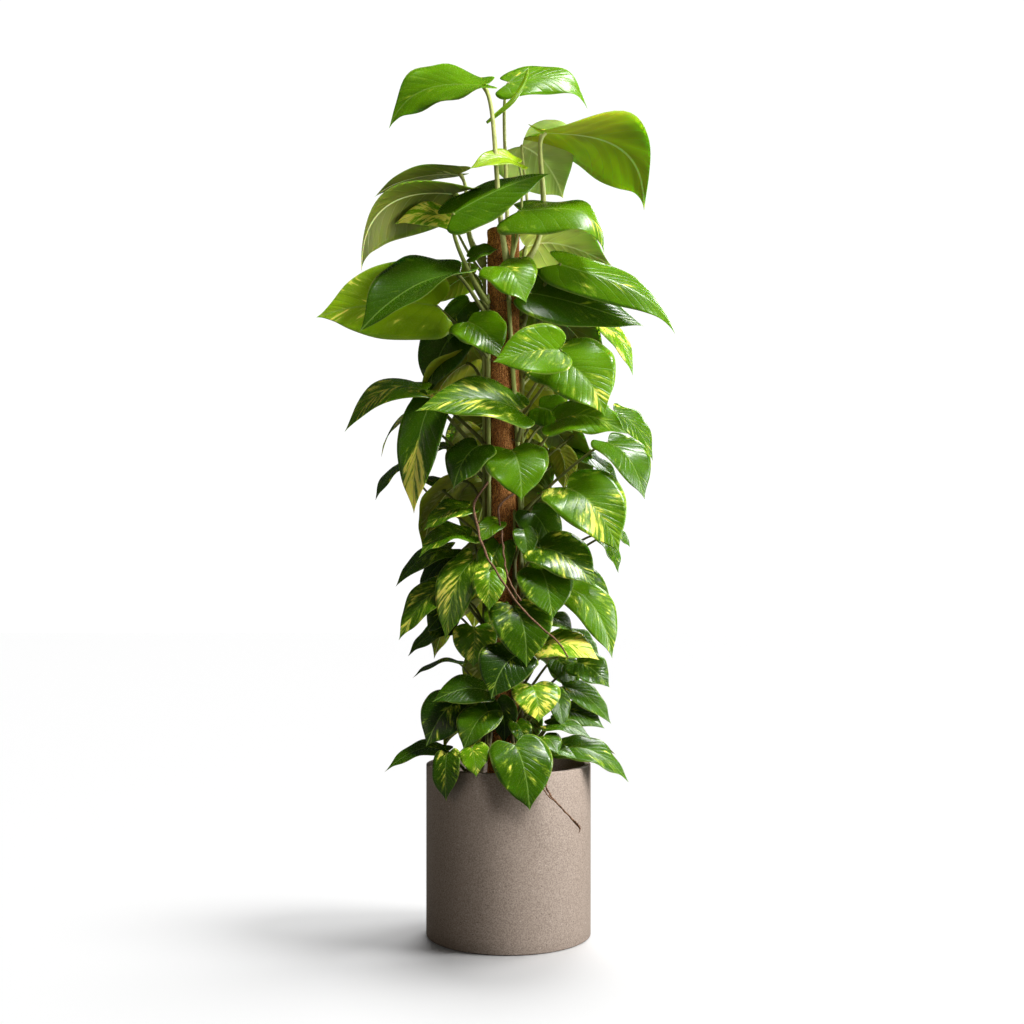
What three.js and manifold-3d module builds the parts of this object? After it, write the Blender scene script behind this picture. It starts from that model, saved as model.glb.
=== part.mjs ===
// A golden pothos that climbs a coir pole in a plain clay pot.
// Millimetres, +Z up, +X to the right and -Y towards the viewer.
// The origin is the centre of the pot's underside.

import * as THREE from 'three';
import Module from 'manifold-3d';

const wasm = await Module();
wasm.setup();

// Pot: a plain cylinder of fibre clay
const POT_RADIUS = 143.5;
const POT_HEIGHT = 296;
const POT_WALL = 11;
const POT_FLOOR = 26;
const POT_EDGE = 1.5; // bevel on the rim and round the foot
const POT_SIDES = 48;

// Soil, a little below the rim
const SOIL_TOP = 264;
const FIT_GAP = 0.3; // between pieces that touch

// Coir pole round a wooden stake. The pole stands a little left of the pot's centre
const POLE_X = -9;
const POLE_RADIUS = 28.5;
const POLE_LENGTH = 1200;
const POLE_SIDES = 24;
const CORE_RADIUS = 15;
const CORE_BELOW_TOP = 3;
const POLE_FOOT = POT_FLOOR + FIT_GAP;

// Stems, planted round the pole and leaning in to it
const STEM_RADIUS = 4.2;
const STEM_TIP_RADIUS = 3;
const STEM_SIDES = 5;
const STEM_STEP = 76;
const STEM_TAPER = 150; // the length below a stem's top over which it thins
const PLANTED_DEPTH = 55;
const PLANTED_REACH = 64; // from the pole's axis to a stem in the soil
const UPRIGHT_HEIGHT = 6; // above the soil a stem starts to lean
const LEAN_HEIGHT = 85; // above the soil it meets the pole
const TURN_HEIGHT = 255; // above the soil it has its climbing azimuth
const TURN_AGAIN = 0.55; // share of its top at which it starts to turn to its last azimuth
const STEM_HOLE_SIDES = 12;
const CLIMB_REACH = POLE_RADIUS + FIT_GAP + STEM_RADIUS;

// Petioles: four-sided, thick at the stem and slim at the blade
const PETIOLE_ROOT_RADIUS = 2.5;
const PETIOLE_END_RADIUS = 1.7;
const PETIOLE_RISE = 0.6; // height gained per length of reach
const PETIOLE_CLEAR = 30; // height gained at the least
const PETIOLE_STEP = 72;
const PETIOLE_MIN_STEPS = 3;
const PETIOLE_START = { up: 0.7, fromPole: 0.4, outward: 0.3, reach: 0.45 }; // shares of the chord
const PETIOLE_ENTRY = { along: 0.75, reach: 0.3 };
const CROWN_BELOW_TOP = 16;
const NODE_ABOVE_SOIL = 14;
const NODE_SPACING = 9; // at the least, between the places where two petioles leave a stem

// Blades: heart-shaped, with a long drip tip
const BLADE_THICKNESS = 0.9;
const LARGE_BLADE = 200; // a blade this long gets a second column of facets
const LARGE_BLADE_COLUMNS = 2;

// One half of a blade's outline, from the notch at the petiole to the last point before the tip.
// Each point is the distance along the rib and the distance out from it, where the blade is 1 long
// and 1 wide, and the place on the rib that its facets run to.
const OUTLINE = [
  [-0.07, 0.1, 0],
  [-0.13, 0.27, 0],
  [-0.02, 0.44, 0],
  [0.21, 0.5, 0.21],
  [0.48, 0.43, 0.48],
  [0.78, 0.23, 0.78],
];

// The point from which the plant is looked at, level, and the depth of its picture plane, y = 0
const VIEW_POINT = new THREE.Vector3(0, -2082, 560);

// The leaves that the viewer sees, stem by stem. A row holds the base of the blade and its tip, each
// as x and z where it appears on the picture plane and y as its true depth, then the blade's width,
// the way its upper face looks as an azimuth (0 to the viewer, 90 to the right) and an elevation, the
// rise of the rib's arch and the fold of the halves, both as shares of the blade's length and width.
// The stem's own numbers are its azimuth round the pole in the soil, on the way up and at its end,
// and the height of its top. A planted stem's foot is PLANTED_DEPTH below the soil's surface.
const VINES = [
  {
    name: 'vine_front', planted: 74, climbs: 66, ends: 14, top: 1175,
    leaves: [
      [-38, 1473, -30, -207, 1428, -50, 100, 180, 72, 0.16, -0.1],
      [17, 1346, -45, -69, 1337, -80, 44, -5, 28, 0.08, 0.2],
      [-8, 1254, -58, 164, 1190, -115, 128, 10, 28, 0.08, 0.1],
      [-15, 1165, -62, 32, 1102, -95, 92, 5, 25, 0.1, 0.05],
      [18, 912, -52, -163, 917, -95, 105, -5, 36, 0.1, 0.1],
      [6, 843, -48, 24, 756, -85, 110, 0, 25, 0.1, 0.05],
    ],
  },
  {
    name: 'vine_left_front', planted: -40, climbs: -48, ends: -52, top: 1110,
    leaves: [
      [-92, 1236, -60, 65, 1325, -95, 82, -15, 25, 0.08, 0.1],
      [-78, 1160, -55, -258, 1057, -100, 140, -15, 24, 0.06, 0.08],
      [-67, 1180, -34, -18, 1195, -44, 42, 0, 45, 0.08, 0.2],
      [-71, 1067, -48, -15, 1004, -75, 88, 0, 30, 0.08, 0.1],
      [-53, 850, -45, -99, 777, -75, 78, -15, 25, 0.1, 0.1],
      [-18, 717, -50, -53, 681, -72, 38, 0, 35, 0.08, 0.15],
      [-62, 651, -48, -112, 511, -78, 80, -18, 25, 0.1, 0.1],
      [-32, 630, -82, -34, 562, -102, 56, 0, 25, 0.08, 0.12],
      [-16, 677, -44, -30, 581, -56, 62, -5, 22, 0.1, 0.1],
      [-60, 532, -54, -62, 464, -72, 76, -5, 22, 0.1, 0.08],
      [-14, 572, -44, -28, 514, -52, 40, -10, 25, 0.08, 0.2],
      [-41, 423, -60, -134, 406, -85, 75, -10, 50, 0.1, 0.1],
      [-36, 385, -82, -80, 318, -114, 72, -10, 35, 0.1, 0.1],
      [-64, 322, -118, -56, 272, -152, 50, -22, 35, 0.1, 0.05],
      [-108, 310, -100, -109, 229, -125, 62, -42, 20, 0.12, 0.05],
    ],
  },
  {
    name: 'vine_right_front', planted: 26, climbs: 36, ends: 36, top: 735,
    leaves: [
      [55, 672, -60, 155, 607, -96, 95, 10, 35, 0.1, 0.1],
      [11, 569, -70, 32, 464, -105, 102, 0, 22, 0.1, 0.08],
      [17, 485, -84, -32, 409, -118, 92, -5, 25, 0.1, 0.08],
      [11, 327, -135, 39, 213, -168, 98, 9, 20, 0.1, 0.05],
      [57, 633, -65, 78, 548, -102, 95, 5, 25, 0.1, 0.08],
      [26, 703, -52, 34, 651, -66, 42, 5, 30, 0.1, 0.15],
      [40, 735, -38, 78, 655, -44, 75, 10, 20, 0.1, 0.1],
      [69, 550, -50, 113, 528, -70, 50, 10, 50, 0.1, 0.1],
      [41, 430, -85, 53, 367, -115, 80, 5, 28, 0.1, 0.08],
      [78, 420, -70, 96, 356, -86, 46, 20, 35, 0.1, 0.1],
      [69, 362, -82, 148, 338, -104, 50, 10, 60, 0.1, 0.1],
      [62, 342, -104, 88, 312, -132, 46, 10, 50, 0.1, 0.1],
      [74, 318, -96, 120, 304, -112, 40, 10, 70, 0.1, 0.1],
    ],
  },
  {
    name: 'vine_left', planted: -92, climbs: -88, ends: -84, top: 1190,
    leaves: [
      [-80, 1320, 8, -227, 1291, 30, 68, 180, 84, 0.1, 0.1],
      [-88, 1295, -12, -258, 1165, -45, 105, 170, 40, 0.12, 0.1],
      [-99, 1242, -28, -200, 1242, -50, 52, 0, 20, 0.14, 0.1],
      [-127, 1095, -15, -337, 1083, -25, 145, -5, 12, 0.06, 0.1],
      [-146, 948, 0, -288, 878, -25, 90, -10, 65, 0.12, 0.15],
      [-137, 924, -30, -171, 733, -50, 98, -22, 8, 0.06, 0.15],
      [-178, 905, 15, -225, 831, 5, 70, -80, 30, 0.1, 0.1],
      [-71, 742, -30, -150, 703, -50, 75, -15, 55, 0.12, 0.12],
      [-68, 693, -34, -158, 656, -58, 78, -15, 55, 0.18, 0.1],
      [-106, 607, -25, -193, 511, -45, 82, -20, 45, 0.1, 0.15],
      [-87, 472, -10, -169, 446, -20, 60, 0, 88, 0.12, 0.1],
      [-83, 406, -50, -146, 326, -80, 92, -20, 22, 0.12, 0.08],
      [-109, 316, -35, -218, 283, -50, 48, 0, 66, 0.14, 0.15],
    ],
  },
  {
    name: 'vine_right', planted: 116, climbs: 100, ends: 90, top: 1180,
    leaves: [
      [57, 1384, -12, 242, 1272, -60, 135, 180, 26, 0.16, 0.1],
      [82, 1160, -30, 286, 1045, -78, 128, 12, 20, 0.07, 0.1],
      [40, 1118, -28, 237, 1062, -12, 112, 0, 26, 0.02, 0.1],
      [41, 1027, -34, 85, 1060, -40, 45, 0, 50, 0.1, 0.1],
      [90, 1019, -86, -28, 1001, -108, 92, -5, 20, 0.05, 0.1],
      [76, 1004, -42, 170, 903, -92, 132, 12, 20, 0.08, 0.1],
      [54, 918, -14, 113, 875, -22, 70, 0, 25, 0.1, 0.15],
      [85, 894, -45, 209, 873, -95, 95, 10, 32, 0.12, 0.1],
      [174, 856, -15, 241, 759, -45, 86, 22, 30, 0.12, 0.1],
      [102, 777, -50, 197, 667, -95, 122, 12, 25, 0.1, 0.08],
      [64, 647, -4, 188, 527, -22, 88, 20, 45, 0.1, 0.12],
      [111, 600, -58, 185, 481, -72, 78, 15, 40, 0.1, 0.1],
      [64, 502, -60, 160, 479, -95, 75, 5, 45, 0.1, 0.1],
      [120, 471, -30, 178, 430, -55, 70, 15, 40, 0.1, 0.1],
      [86, 476, -8, 114, 428, -12, 56, 15, 25, 0.1, 0.1],
      [97, 429, -30, 181, 366, -50, 62, 15, 55, 0.1, 0.1],
      [90, 385, -35, 169, 359, -60, 60, 10, 50, 0.1, 0.1],
      [94, 320, -50, 213, 266, -62, 75, 10, 62, 0.14, 0.12],
      [116, 330, 12, 188, 313, 24, 50, 180, 70, 0.1, 0.1],
    ],
  },
  {
    name: 'vine_left_back', planted: -140, climbs: -134, ends: -130, top: 1150,
    leaves: [
      [-76, 1066, 46, -144, 943, 30, 108, -20, 14, 0.08, 0.1],
      [-67, 1101, 30, -108, 1032, 22, 70, -25, 25, 0.1, 0.1],
      [-60, 1150, 40, -135, 1100, 55, 70, -160, 50, 0.1, 0.1],
      [-190, 815, 40, -234, 756, 40, 60, -60, 40, 0.1, 0.1],
      [-150, 794, 62, -108, 772, 44, 50, 0, 70, 0.1, 0.1],
      [-102, 850, 30, -140, 838, 20, 45, -10, 60, 0.1, 0.1],
      [-102, 670, 20, -200, 607, 10, 70, -10, 62, 0.12, 0.1],
      [-102, 656, 50, -157, 593, 45, 65, -20, 50, 0.1, 0.1],
      [-100, 560, 30, -143, 525, 20, 60, -20, 40, 0.1, 0.1],
      [-94, 532, 50, -178, 485, 50, 62, -10, 65, 0.1, 0.1],
    ],
    behind: { count: 8, from: 375, to: 1110, azimuth: -140, seed: 39 },
  },
  {
    name: 'vine_right_back', planted: 150, climbs: 138, ends: 132, top: 1170,
    leaves: [
      [24, 1375, 50, 97, 1286, 100, 140, 180, 22, 0.08, 0.08],
      [31, 1199, 35, 181, 1172, 70, 135, 175, 48, 0.12, 0.05],
      [165, 1062, 60, 220, 975, 80, 46, 25, 25, 0.1, 0.15],
      [186, 910, 30, 255, 826, 20, 65, 40, 55, 0.1, 0.1],
      [90, 842, 22, 99, 773, 28, 48, 175, 25, 0.1, 0.1],
      [111, 840, 54, 199, 779, 46, 62, 10, 60, 0.1, 0.1],
      [157, 695, 20, 193, 628, 10, 50, 40, 50, 0.1, 0.1],
      [185, 700, 30, 213, 674, 30, 30, 30, 50, 0.1, 0.1],
      [67, 765, 36, 143, 695, 28, 60, 20, 65, 0.1, 0.1],
      [104, 515, 15, 160, 485, 10, 60, 20, 45, 0.1, 0.1],
    ],
    behind: { count: 8, from: 395, to: 1085, azimuth: 141, seed: 8 },
  },
  {
    name: 'vine_back', planted: 188, climbs: 180, ends: 178, top: 1195,
    leaves: [
      [-15, 1481, 18, 134, 1447, 40, 80, 180, 84, 0.1, 0.1],
    ],
    behind: { count: 12, from: 350, to: 1150, azimuth: 180, seed: 38 },
  },
];

// Leaves on the side away from the viewer follow a rule: they alternate from side to side up their
// stem, and they grow larger and stand out further with height
const BEHIND = {
  side: 17, // degrees to either side of the leaves' own azimuth
  sideSpread: 8,
  turn: 10, // degrees that the tip turns further at the most
  heightSpread: 12,
  baseReach: [62, 105], // from the pole's axis, low and high on the stem
  tipReach: [128, 205],
  length: [98, 185],
  widthShare: 0.72,
  spread: 0.16,
  elevation: 38,
  arch: 0.11,
  fold: 0.1,
  seedStep: 7919,
};

// Brown aerial roots, each on the stem that it grows from: route points as x and z where they
// appear on the picture plane and y as their true depth, and the radius at the start and the end
const ROOT_STEP = 16;
const ROOT_SIDES = 4;
const AERIAL_ROOTS = [
  {
    on: 'vine_left_front',
    radius: [1.6, 1.1],
    route: [
      [-62, 790, -26], [-60, 750, -52], [-55, 715, -72], [-48, 684, -92], [-34, 651, -108],
      [-13, 618, -112], [13, 579, -112], [43, 546, -114], [69, 523, -112], [88, 506, -108],
      [104, 481, -104],
    ],
  },
  {
    on: 'vine_right_front',
    radius: [1.5, 0.9],
    route: [
      [34, 300, -68], [50, 306, -100], [57, 290, -138], [64, 261, -152], [73, 240, -158],
      [90, 220, -160], [108, 201, -161], [126, 180, -160],
    ],
  },
];

const TURN = Math.PI / 180;
const UP = new THREE.Vector3(0, 0, 1);

// A number between a and b
function mix(a, b, share) {
  return a + (b - a) * share;
}

// How far x lies from low to high, from 0 to 1, eased at both ends
function smooth(x, low, high) {
  const share = Math.min(1, Math.max(0, (x - low) / (high - low)));
  return share * share * (3 - 2 * share);
}

// A unit vector that looks to an azimuth and an elevation, both in degrees
function heading(azimuth, elevation) {
  const flat = Math.cos(elevation * TURN);
  return new THREE.Vector3(
    Math.sin(azimuth * TURN) * flat,
    -Math.cos(azimuth * TURN) * flat,
    Math.sin(elevation * TURN),
  );
}

// The part of a vector across another, as a unit vector
function across(vector, along) {
  return vector.clone().addScaledVector(along, -vector.dot(along)).normalize();
}

// The point at depth y that the viewer sees at x and z on the picture plane
function seen(x, z, y) {
  const onPlane = new THREE.Vector3(x, 0, z).sub(VIEW_POINT);
  return onPlane.multiplyScalar((y - VIEW_POINT.y) / -VIEW_POINT.y).add(VIEW_POINT);
}

// A closed mesh, gathered point by point and face by face
class Skin {
  constructor() {
    this.points = [];
    this.faces = [];
  }

  point(v) {
    this.points.push(v.x, v.y, v.z);
    return this.points.length / 3 - 1;
  }

  face(a, b, c) {
    if (a !== b && b !== c && c !== a) {
      this.faces.push(a, b, c);
    }
  }

  quad(a, b, c, d) {
    this.face(a, b, c);
    this.face(a, c, d);
  }

  // Joins two rings of the same number of points
  band(low, high) {
    for (let i = 0; i < low.length; i += 1) {
      const next = (i + 1) % low.length;
      this.quad(low[i], low[next], high[next], high[i]);
    }
  }

  // Closes a ring with a fan
  cap(ring) {
    for (let i = 1; i < ring.length - 1; i += 1) {
      this.face(ring[0], ring[i], ring[i + 1]);
    }
  }

  solid() {
    const mesh = new wasm.Mesh({
      numProp: 3,
      vertProperties: new Float32Array(this.points),
      triVerts: new Uint32Array(this.faces),
    });
    return new wasm.Manifold(mesh);
  }
}

// The frame at each point of a curve, carried back from a frame at its end without twist. Each frame
// holds the point, the direction of travel and the direction that counts as the curve's left side
function carriedFrames(points, endSide) {
  const frames = [];
  let side = endSide.clone();
  for (let i = points.length - 1; i >= 0; i -= 1) {
    const ahead = points[Math.min(i + 1, points.length - 1)];
    const behind = points[Math.max(i - 1, 0)];
    const along = ahead.clone().sub(behind).normalize();
    side = across(side, along);
    frames.unshift({ at: points[i], along, side });
  }
  return frames;
}

// A tube with a closed end at both ends
function tube(points, radii, sides) {
  const skin = new Skin();
  const start = Math.abs(points[1].z - points[0].z) > 1 ? new THREE.Vector3(1, 0, 0) : UP;
  const frames = carriedFrames(points, start);
  const rings = frames.map(({ at, along, side }, i) => {
    const upper = along.clone().cross(side);
    const ring = [];
    for (let k = 0; k < sides; k += 1) {
      const angle = (2 * Math.PI * k) / sides;
      const out = side.clone().multiplyScalar(Math.cos(angle) * radii[i]);
      out.addScaledVector(upper, Math.sin(angle) * radii[i]);
      ring.push(skin.point(out.add(at)));
    }
    return ring;
  });
  for (let i = 1; i < rings.length; i += 1) {
    skin.band(rings[i - 1], rings[i]);
  }
  skin.cap([...rings[0]].reverse());
  skin.cap(rings[rings.length - 1]);
  return skin.solid();
}

// The point of a stem's axis at a height: planted away from the pole, it leans in to the pole and
// climbs it, and its azimuth changes slowly on the way up
function stemAxis(vine, z) {
  const climbed = smooth(z, SOIL_TOP, SOIL_TOP + TURN_HEIGHT);
  const finished = smooth(z, TURN_AGAIN * vine.top, vine.top);
  const azimuth = mix(mix(vine.planted, vine.climbs, climbed), vine.ends, finished);
  const leant = smooth(z, SOIL_TOP + UPRIGHT_HEIGHT, SOIL_TOP + LEAN_HEIGHT);
  const reach = mix(PLANTED_REACH, CLIMB_REACH, leant);
  const out = heading(azimuth, 0).multiplyScalar(reach);
  return new THREE.Vector3(POLE_X + out.x, out.y, z);
}

function stem(vine) {
  const low = SOIL_TOP - PLANTED_DEPTH;
  const count = Math.round((vine.top - low) / STEM_STEP);
  const heights = [low, SOIL_TOP + UPRIGHT_HEIGHT];
  for (let i = 1; i <= count; i += 1) {
    const z = low + ((vine.top - low) * i) / count;
    if (z > SOIL_TOP + NODE_ABOVE_SOIL) {
      heights.push(z);
    }
  }
  const points = heights.map((z) => stemAxis(vine, z));
  const radii = heights.map(
    (z) => mix(STEM_RADIUS, STEM_TIP_RADIUS, smooth(z, vine.top - STEM_TAPER, vine.top)),
  );
  return tube(points, radii, STEM_SIDES);
}

// A blade's own directions and sizes, from its row's values
function bladeOf({ base, tip, width, azimuth, elevation, arch, fold, twist = 0 }) {
  const along = tip.clone().sub(base);
  const length = along.length();
  along.normalize();
  const face = across(heading(azimuth, elevation), along);
  const side = face.clone().cross(along);
  return { base, along, face, side, above: across(UP, along), length, width, arch, fold, twist };
}

// How high the rib stands above the line from base to tip, as a share of its greatest height
function archOf(along) {
  return along < 0 ? 2 * along : 2 * along * (1 - along) * (3 - 2 * along);
}

// The middle of the blade's thickness at a distance along the rib and a distance out from it, both
// as shares: the rib arches up, the halves rise from it as a fold, and the blade twists to its tip
function bladePoint(blade, along, out) {
  const angle = blade.twist * TURN * Math.max(0, along);
  const rise = blade.fold * Math.abs(out);
  const sideways = (out * Math.cos(angle) - rise * Math.sin(angle)) * blade.width;
  const upwards = (out * Math.sin(angle) + rise * Math.cos(angle)) * blade.width;
  return blade.base.clone()
    .addScaledVector(blade.along, along * blade.length)
    .addScaledVector(blade.side, sideways)
    .addScaledVector(blade.face, upwards)
    .addScaledVector(blade.above, blade.arch * archOf(along) * blade.length);
}

// The petiole's route, from the stem up and out, and round into the base of the blade
function petioleRoute(blade, root) {
  const chord = blade.base.distanceTo(root);
  const fromPole = new THREE.Vector3(root.x - POLE_X, root.y, 0).normalize();
  const outward = blade.base.clone().sub(root).setZ(0).normalize();
  const start = UP.clone().multiplyScalar(PETIOLE_START.up);
  start.addScaledVector(fromPole, PETIOLE_START.fromPole);
  start.addScaledVector(outward, PETIOLE_START.outward);
  const end = blade.along.clone().multiplyScalar(PETIOLE_ENTRY.along).add(blade.face).normalize();
  const curve = new THREE.CubicBezierCurve3(
    root,
    root.clone().addScaledVector(start, PETIOLE_START.reach * chord),
    blade.base.clone().addScaledVector(end, -PETIOLE_ENTRY.reach * chord),
    blade.base,
  );
  const steps = Math.max(PETIOLE_MIN_STEPS, Math.round(chord / PETIOLE_STEP));
  return curve.getPoints(steps);
}

// A leaf in one skin: its petiole runs into the notch of its blade
function leaf(blade, root) {
  const skin = new Skin();
  const route = petioleRoute(blade, root);
  const frames = carriedFrames(route, blade.side);
  const rings = frames.map(({ at, along, side }, i) => {
    const share = i / (frames.length - 1);
    const radius = mix(PETIOLE_ROOT_RADIUS, PETIOLE_END_RADIUS, share);
    const upper = along.clone().cross(side);
    return [[upper, 1], [side, -1], [upper, -1], [side, 1]].map(
      ([way, sign]) => skin.point(at.clone().addScaledVector(way, sign * radius)),
    );
  });
  for (let i = 1; i < rings.length; i += 1) {
    skin.band(rings[i - 1], rings[i]);
  }
  skin.cap([...rings[0]].reverse());

  // The base ring's upper and lower points start the two faces of the blade
  const base = rings[rings.length - 1];
  const columns = blade.length > LARGE_BLADE ? LARGE_BLADE_COLUMNS : 1;
  const half = blade.face.clone().multiplyScalar(BLADE_THICKNESS / 2);
  const pair = (along, out) => {
    const middle = bladePoint(blade, along, out);
    return [skin.point(middle.clone().add(half)), skin.point(middle.clone().sub(half))];
  };
  const ribs = new Map([[0, [base[0], base[2]]]]);
  for (const [, , rib] of OUTLINE) {
    if (!ribs.has(rib)) {
      ribs.set(rib, pair(rib, 0));
    }
  }
  const tip = pair(1, 0);
  for (const sign of [1, -1]) {
    const flank = sign > 0 ? base[3] : base[1];
    const rows = OUTLINE.map(([along, out, rib]) => {
      const row = [ribs.get(rib)];
      for (let c = 1; c <= columns; c += 1) {
        row.push(pair(mix(rib, along, c / columns), (sign * out * c) / columns));
      }
      return row;
    });
    rows.push(Array(columns + 1).fill(tip));
    const faceUp = (a, b, c) => (sign > 0 ? skin.face(a, b, c) : skin.face(a, c, b));
    for (let r = 1; r < rows.length; r += 1) {
      for (let c = 1; c <= columns; c += 1) {
        const [a, b, d, e] = [rows[r - 1][c - 1], rows[r - 1][c], rows[r][c], rows[r][c - 1]];
        faceUp(a[0], d[0], b[0]);
        faceUp(a[0], e[0], d[0]);
        faceUp(a[1], b[1], d[1]);
        faceUp(a[1], d[1], e[1]);
      }
    }
    for (let r = 1; r < rows.length; r += 1) {
      const [b, d] = [rows[r - 1][columns], rows[r][columns]];
      faceUp(b[0], d[0], d[1]);
      faceUp(b[0], d[1], b[1]);
    }
    const notch = rows[0];
    faceUp(base[0], notch[1][0], flank);
    faceUp(base[2], flank, notch[1][1]);
    faceUp(flank, notch[1][0], notch[1][1]);
    for (let c = 2; c <= columns; c += 1) {
      faceUp(notch[c - 1][0], notch[c][0], notch[c][1]);
      faceUp(notch[c - 1][0], notch[c][1], notch[c - 1][1]);
    }
  }
  return skin.solid();
}

// Seeded draws from 0 to 1
function drawsFrom(seed) {
  let state = seed;
  return () => {
    state = (state * 16807) % 2147483647;
    return state / 2147483647;
  };
}

// The leaves on the far side of a stem, by the rule above
function leavesBehind(vine) {
  const { count, from, to, azimuth: middle, seed } = vine.behind;
  const draw = drawsFrom(seed * BEHIND.seedStep);
  const blades = [];
  for (let i = 0; i < count; i += 1) {
    const share = i / (count - 1);
    const size = 1 + BEHIND.spread * (2 * draw() - 1);
    const way = i % 2 === 0 ? 1 : -1;
    const azimuth = middle + way * (BEHIND.side + BEHIND.sideSpread * (2 * draw() - 1));
    const z = mix(from, to, share) + BEHIND.heightSpread * (2 * draw() - 1);
    const baseReach = mix(...BEHIND.baseReach, share) * size;
    const tipReach = mix(...BEHIND.tipReach, share) * size;
    const length = mix(...BEHIND.length, share) * size;
    const drop = Math.sqrt(Math.max(0, length * length - (tipReach - baseReach) ** 2));
    const tipAzimuth = azimuth + way * BEHIND.turn * draw();
    const base = heading(azimuth, 0).multiplyScalar(baseReach).add(new THREE.Vector3(POLE_X, 0, z));
    const tip = heading(tipAzimuth, 0).multiplyScalar(tipReach);
    tip.add(new THREE.Vector3(POLE_X, 0, z - drop));
    blades.push(bladeOf({
      base,
      tip,
      width: length * BEHIND.widthShare,
      azimuth,
      elevation: BEHIND.elevation,
      arch: BEHIND.arch,
      fold: BEHIND.fold,
    }));
  }
  return blades;
}

// Every blade of a stem
function bladesOf(vine) {
  const blades = vine.leaves.map((row) => {
    const [x, z, y, tipX, tipZ, tipY, width, azimuth, elevation, arch, fold, twist] = row;
    const ends = { base: seen(x, z, y), tip: seen(tipX, tipZ, tipY) };
    return bladeOf({ ...ends, width, azimuth, elevation, arch, fold, twist });
  });
  return vine.behind ? [...blades, ...leavesBehind(vine)] : blades;
}

// Where each petiole leaves its stem: below its blade, between the soil and the stem's top, and
// clear of the petioles before it
function rootsOf(vine, blades) {
  const lowest = SOIL_TOP + NODE_ABOVE_SOIL;
  const highest = vine.top - CROWN_BELOW_TOP;
  const taken = [];
  return blades.map(({ base }) => {
    const level = stemAxis(vine, Math.min(vine.top, base.z));
    const reach = Math.hypot(base.x - level.x, base.y - level.y);
    const wanted = base.z - PETIOLE_CLEAR - PETIOLE_RISE * reach;
    const step = wanted < lowest ? NODE_SPACING : -NODE_SPACING;
    let z = Math.max(lowest, Math.min(highest, wanted));
    while (taken.some((other) => Math.abs(other - z) < NODE_SPACING)) {
      z += step;
    }
    taken.push(z);
    return stemAxis(vine, z);
  });
}

// An aerial root: it starts inside the stem nearest to its first point
function aerialRoot({ route, radius }, vine) {
  const seenPoints = route.map(([x, z, y]) => seen(x, z, y));
  const start = stemAxis(vine, seenPoints[0].z);
  const curve = new THREE.CatmullRomCurve3([start, ...seenPoints.slice(1)], false, 'centripetal');
  const points = curve.getPoints(Math.round(curve.getLength() / ROOT_STEP));
  const radii = points.map((_, i) => mix(radius[0], radius[1], i / (points.length - 1)));
  return tube(points, radii, ROOT_SIDES);
}

// Every solid of a vine, before they are joined
function vineSolids(vine) {
  const blades = bladesOf(vine);
  const roots = rootsOf(vine, blades);
  const solids = [stem(vine), ...blades.map((blade, i) => leaf(blade, roots[i]))];
  for (const root of AERIAL_ROOTS) {
    if (root.on === vine.name) {
      solids.push(aerialRoot(root, vine));
    }
  }
  return solids;
}

function geometryOf(solid) {
  const { vertProperties, triVerts } = solid.getMesh();
  const geometry = new THREE.BufferGeometry();
  geometry.setAttribute('position', new THREE.BufferAttribute(vertProperties, 3));
  geometry.setIndex(new THREE.BufferAttribute(triVerts, 1));
  return geometry;
}

// A solid turned from a profile of radius and height, given round its outside. A profile that
// doesn't start on the axis is closed into a ring
function turned(profile, sides, x = 0, y = 0) {
  const skin = new Skin();
  const rings = profile.map(([radius, z]) => {
    if (radius === 0) {
      return Array(sides).fill(skin.point(new THREE.Vector3(x, y, z)));
    }
    const ring = [];
    for (let k = 0; k < sides; k += 1) {
      const angle = (2 * Math.PI * k) / sides;
      const at = new THREE.Vector3(x + radius * Math.cos(angle), y + radius * Math.sin(angle), z);
      ring.push(skin.point(at));
    }
    return ring;
  });
  for (let i = 1; i < rings.length; i += 1) {
    skin.band(rings[i - 1], rings[i]);
  }
  if (profile[0][0] !== 0) {
    skin.band(rings[rings.length - 1], rings[0]);
  }
  return skin.solid();
}

function cylinder(radius, low, high, sides, x = 0, y = 0) {
  return turned([[0, low], [radius, low], [radius, high], [0, high]], sides, x, y);
}

function potSolid() {
  const inner = POT_RADIUS - POT_WALL;
  return turned([
    [0, 0],
    [POT_RADIUS - POT_EDGE, 0],
    [POT_RADIUS, POT_EDGE],
    [POT_RADIUS, POT_HEIGHT - POT_EDGE],
    [POT_RADIUS - POT_EDGE, POT_HEIGHT],
    [inner + POT_EDGE, POT_HEIGHT],
    [inner, POT_HEIGHT - POT_EDGE],
    [inner, POT_FLOOR],
    [0, POT_FLOOR],
  ], POT_SIDES);
}

function soilSolid() {
  const outer = POT_RADIUS - POT_WALL - 2 * FIT_GAP;
  let soil = cylinder(outer, POT_FLOOR + FIT_GAP, SOIL_TOP, POT_SIDES);
  soil = soil.subtract(cylinder(POLE_RADIUS + 2 * FIT_GAP, 0, POT_HEIGHT, POLE_SIDES, POLE_X));
  for (const vine of VINES) {
    const low = SOIL_TOP - PLANTED_DEPTH;
    const { x, y } = stemAxis(vine, low);
    const radius = STEM_RADIUS + 2 * FIT_GAP;
    const hole = cylinder(radius, low - FIT_GAP, POT_HEIGHT, STEM_HOLE_SIDES, x, y);
    soil = soil.subtract(hole);
  }
  return soil;
}

function coirSolid() {
  const top = POLE_FOOT + POLE_LENGTH;
  const inner = CORE_RADIUS + 2 * FIT_GAP;
  const profile = [[inner, POLE_FOOT], [POLE_RADIUS, POLE_FOOT], [POLE_RADIUS, top], [inner, top]];
  return turned(profile, POLE_SIDES, POLE_X);
}

function coreSolid() {
  return cylinder(CORE_RADIUS, POLE_FOOT, POLE_FOOT + POLE_LENGTH - CORE_BELOW_TOP, POLE_SIDES, POLE_X);
}

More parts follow.
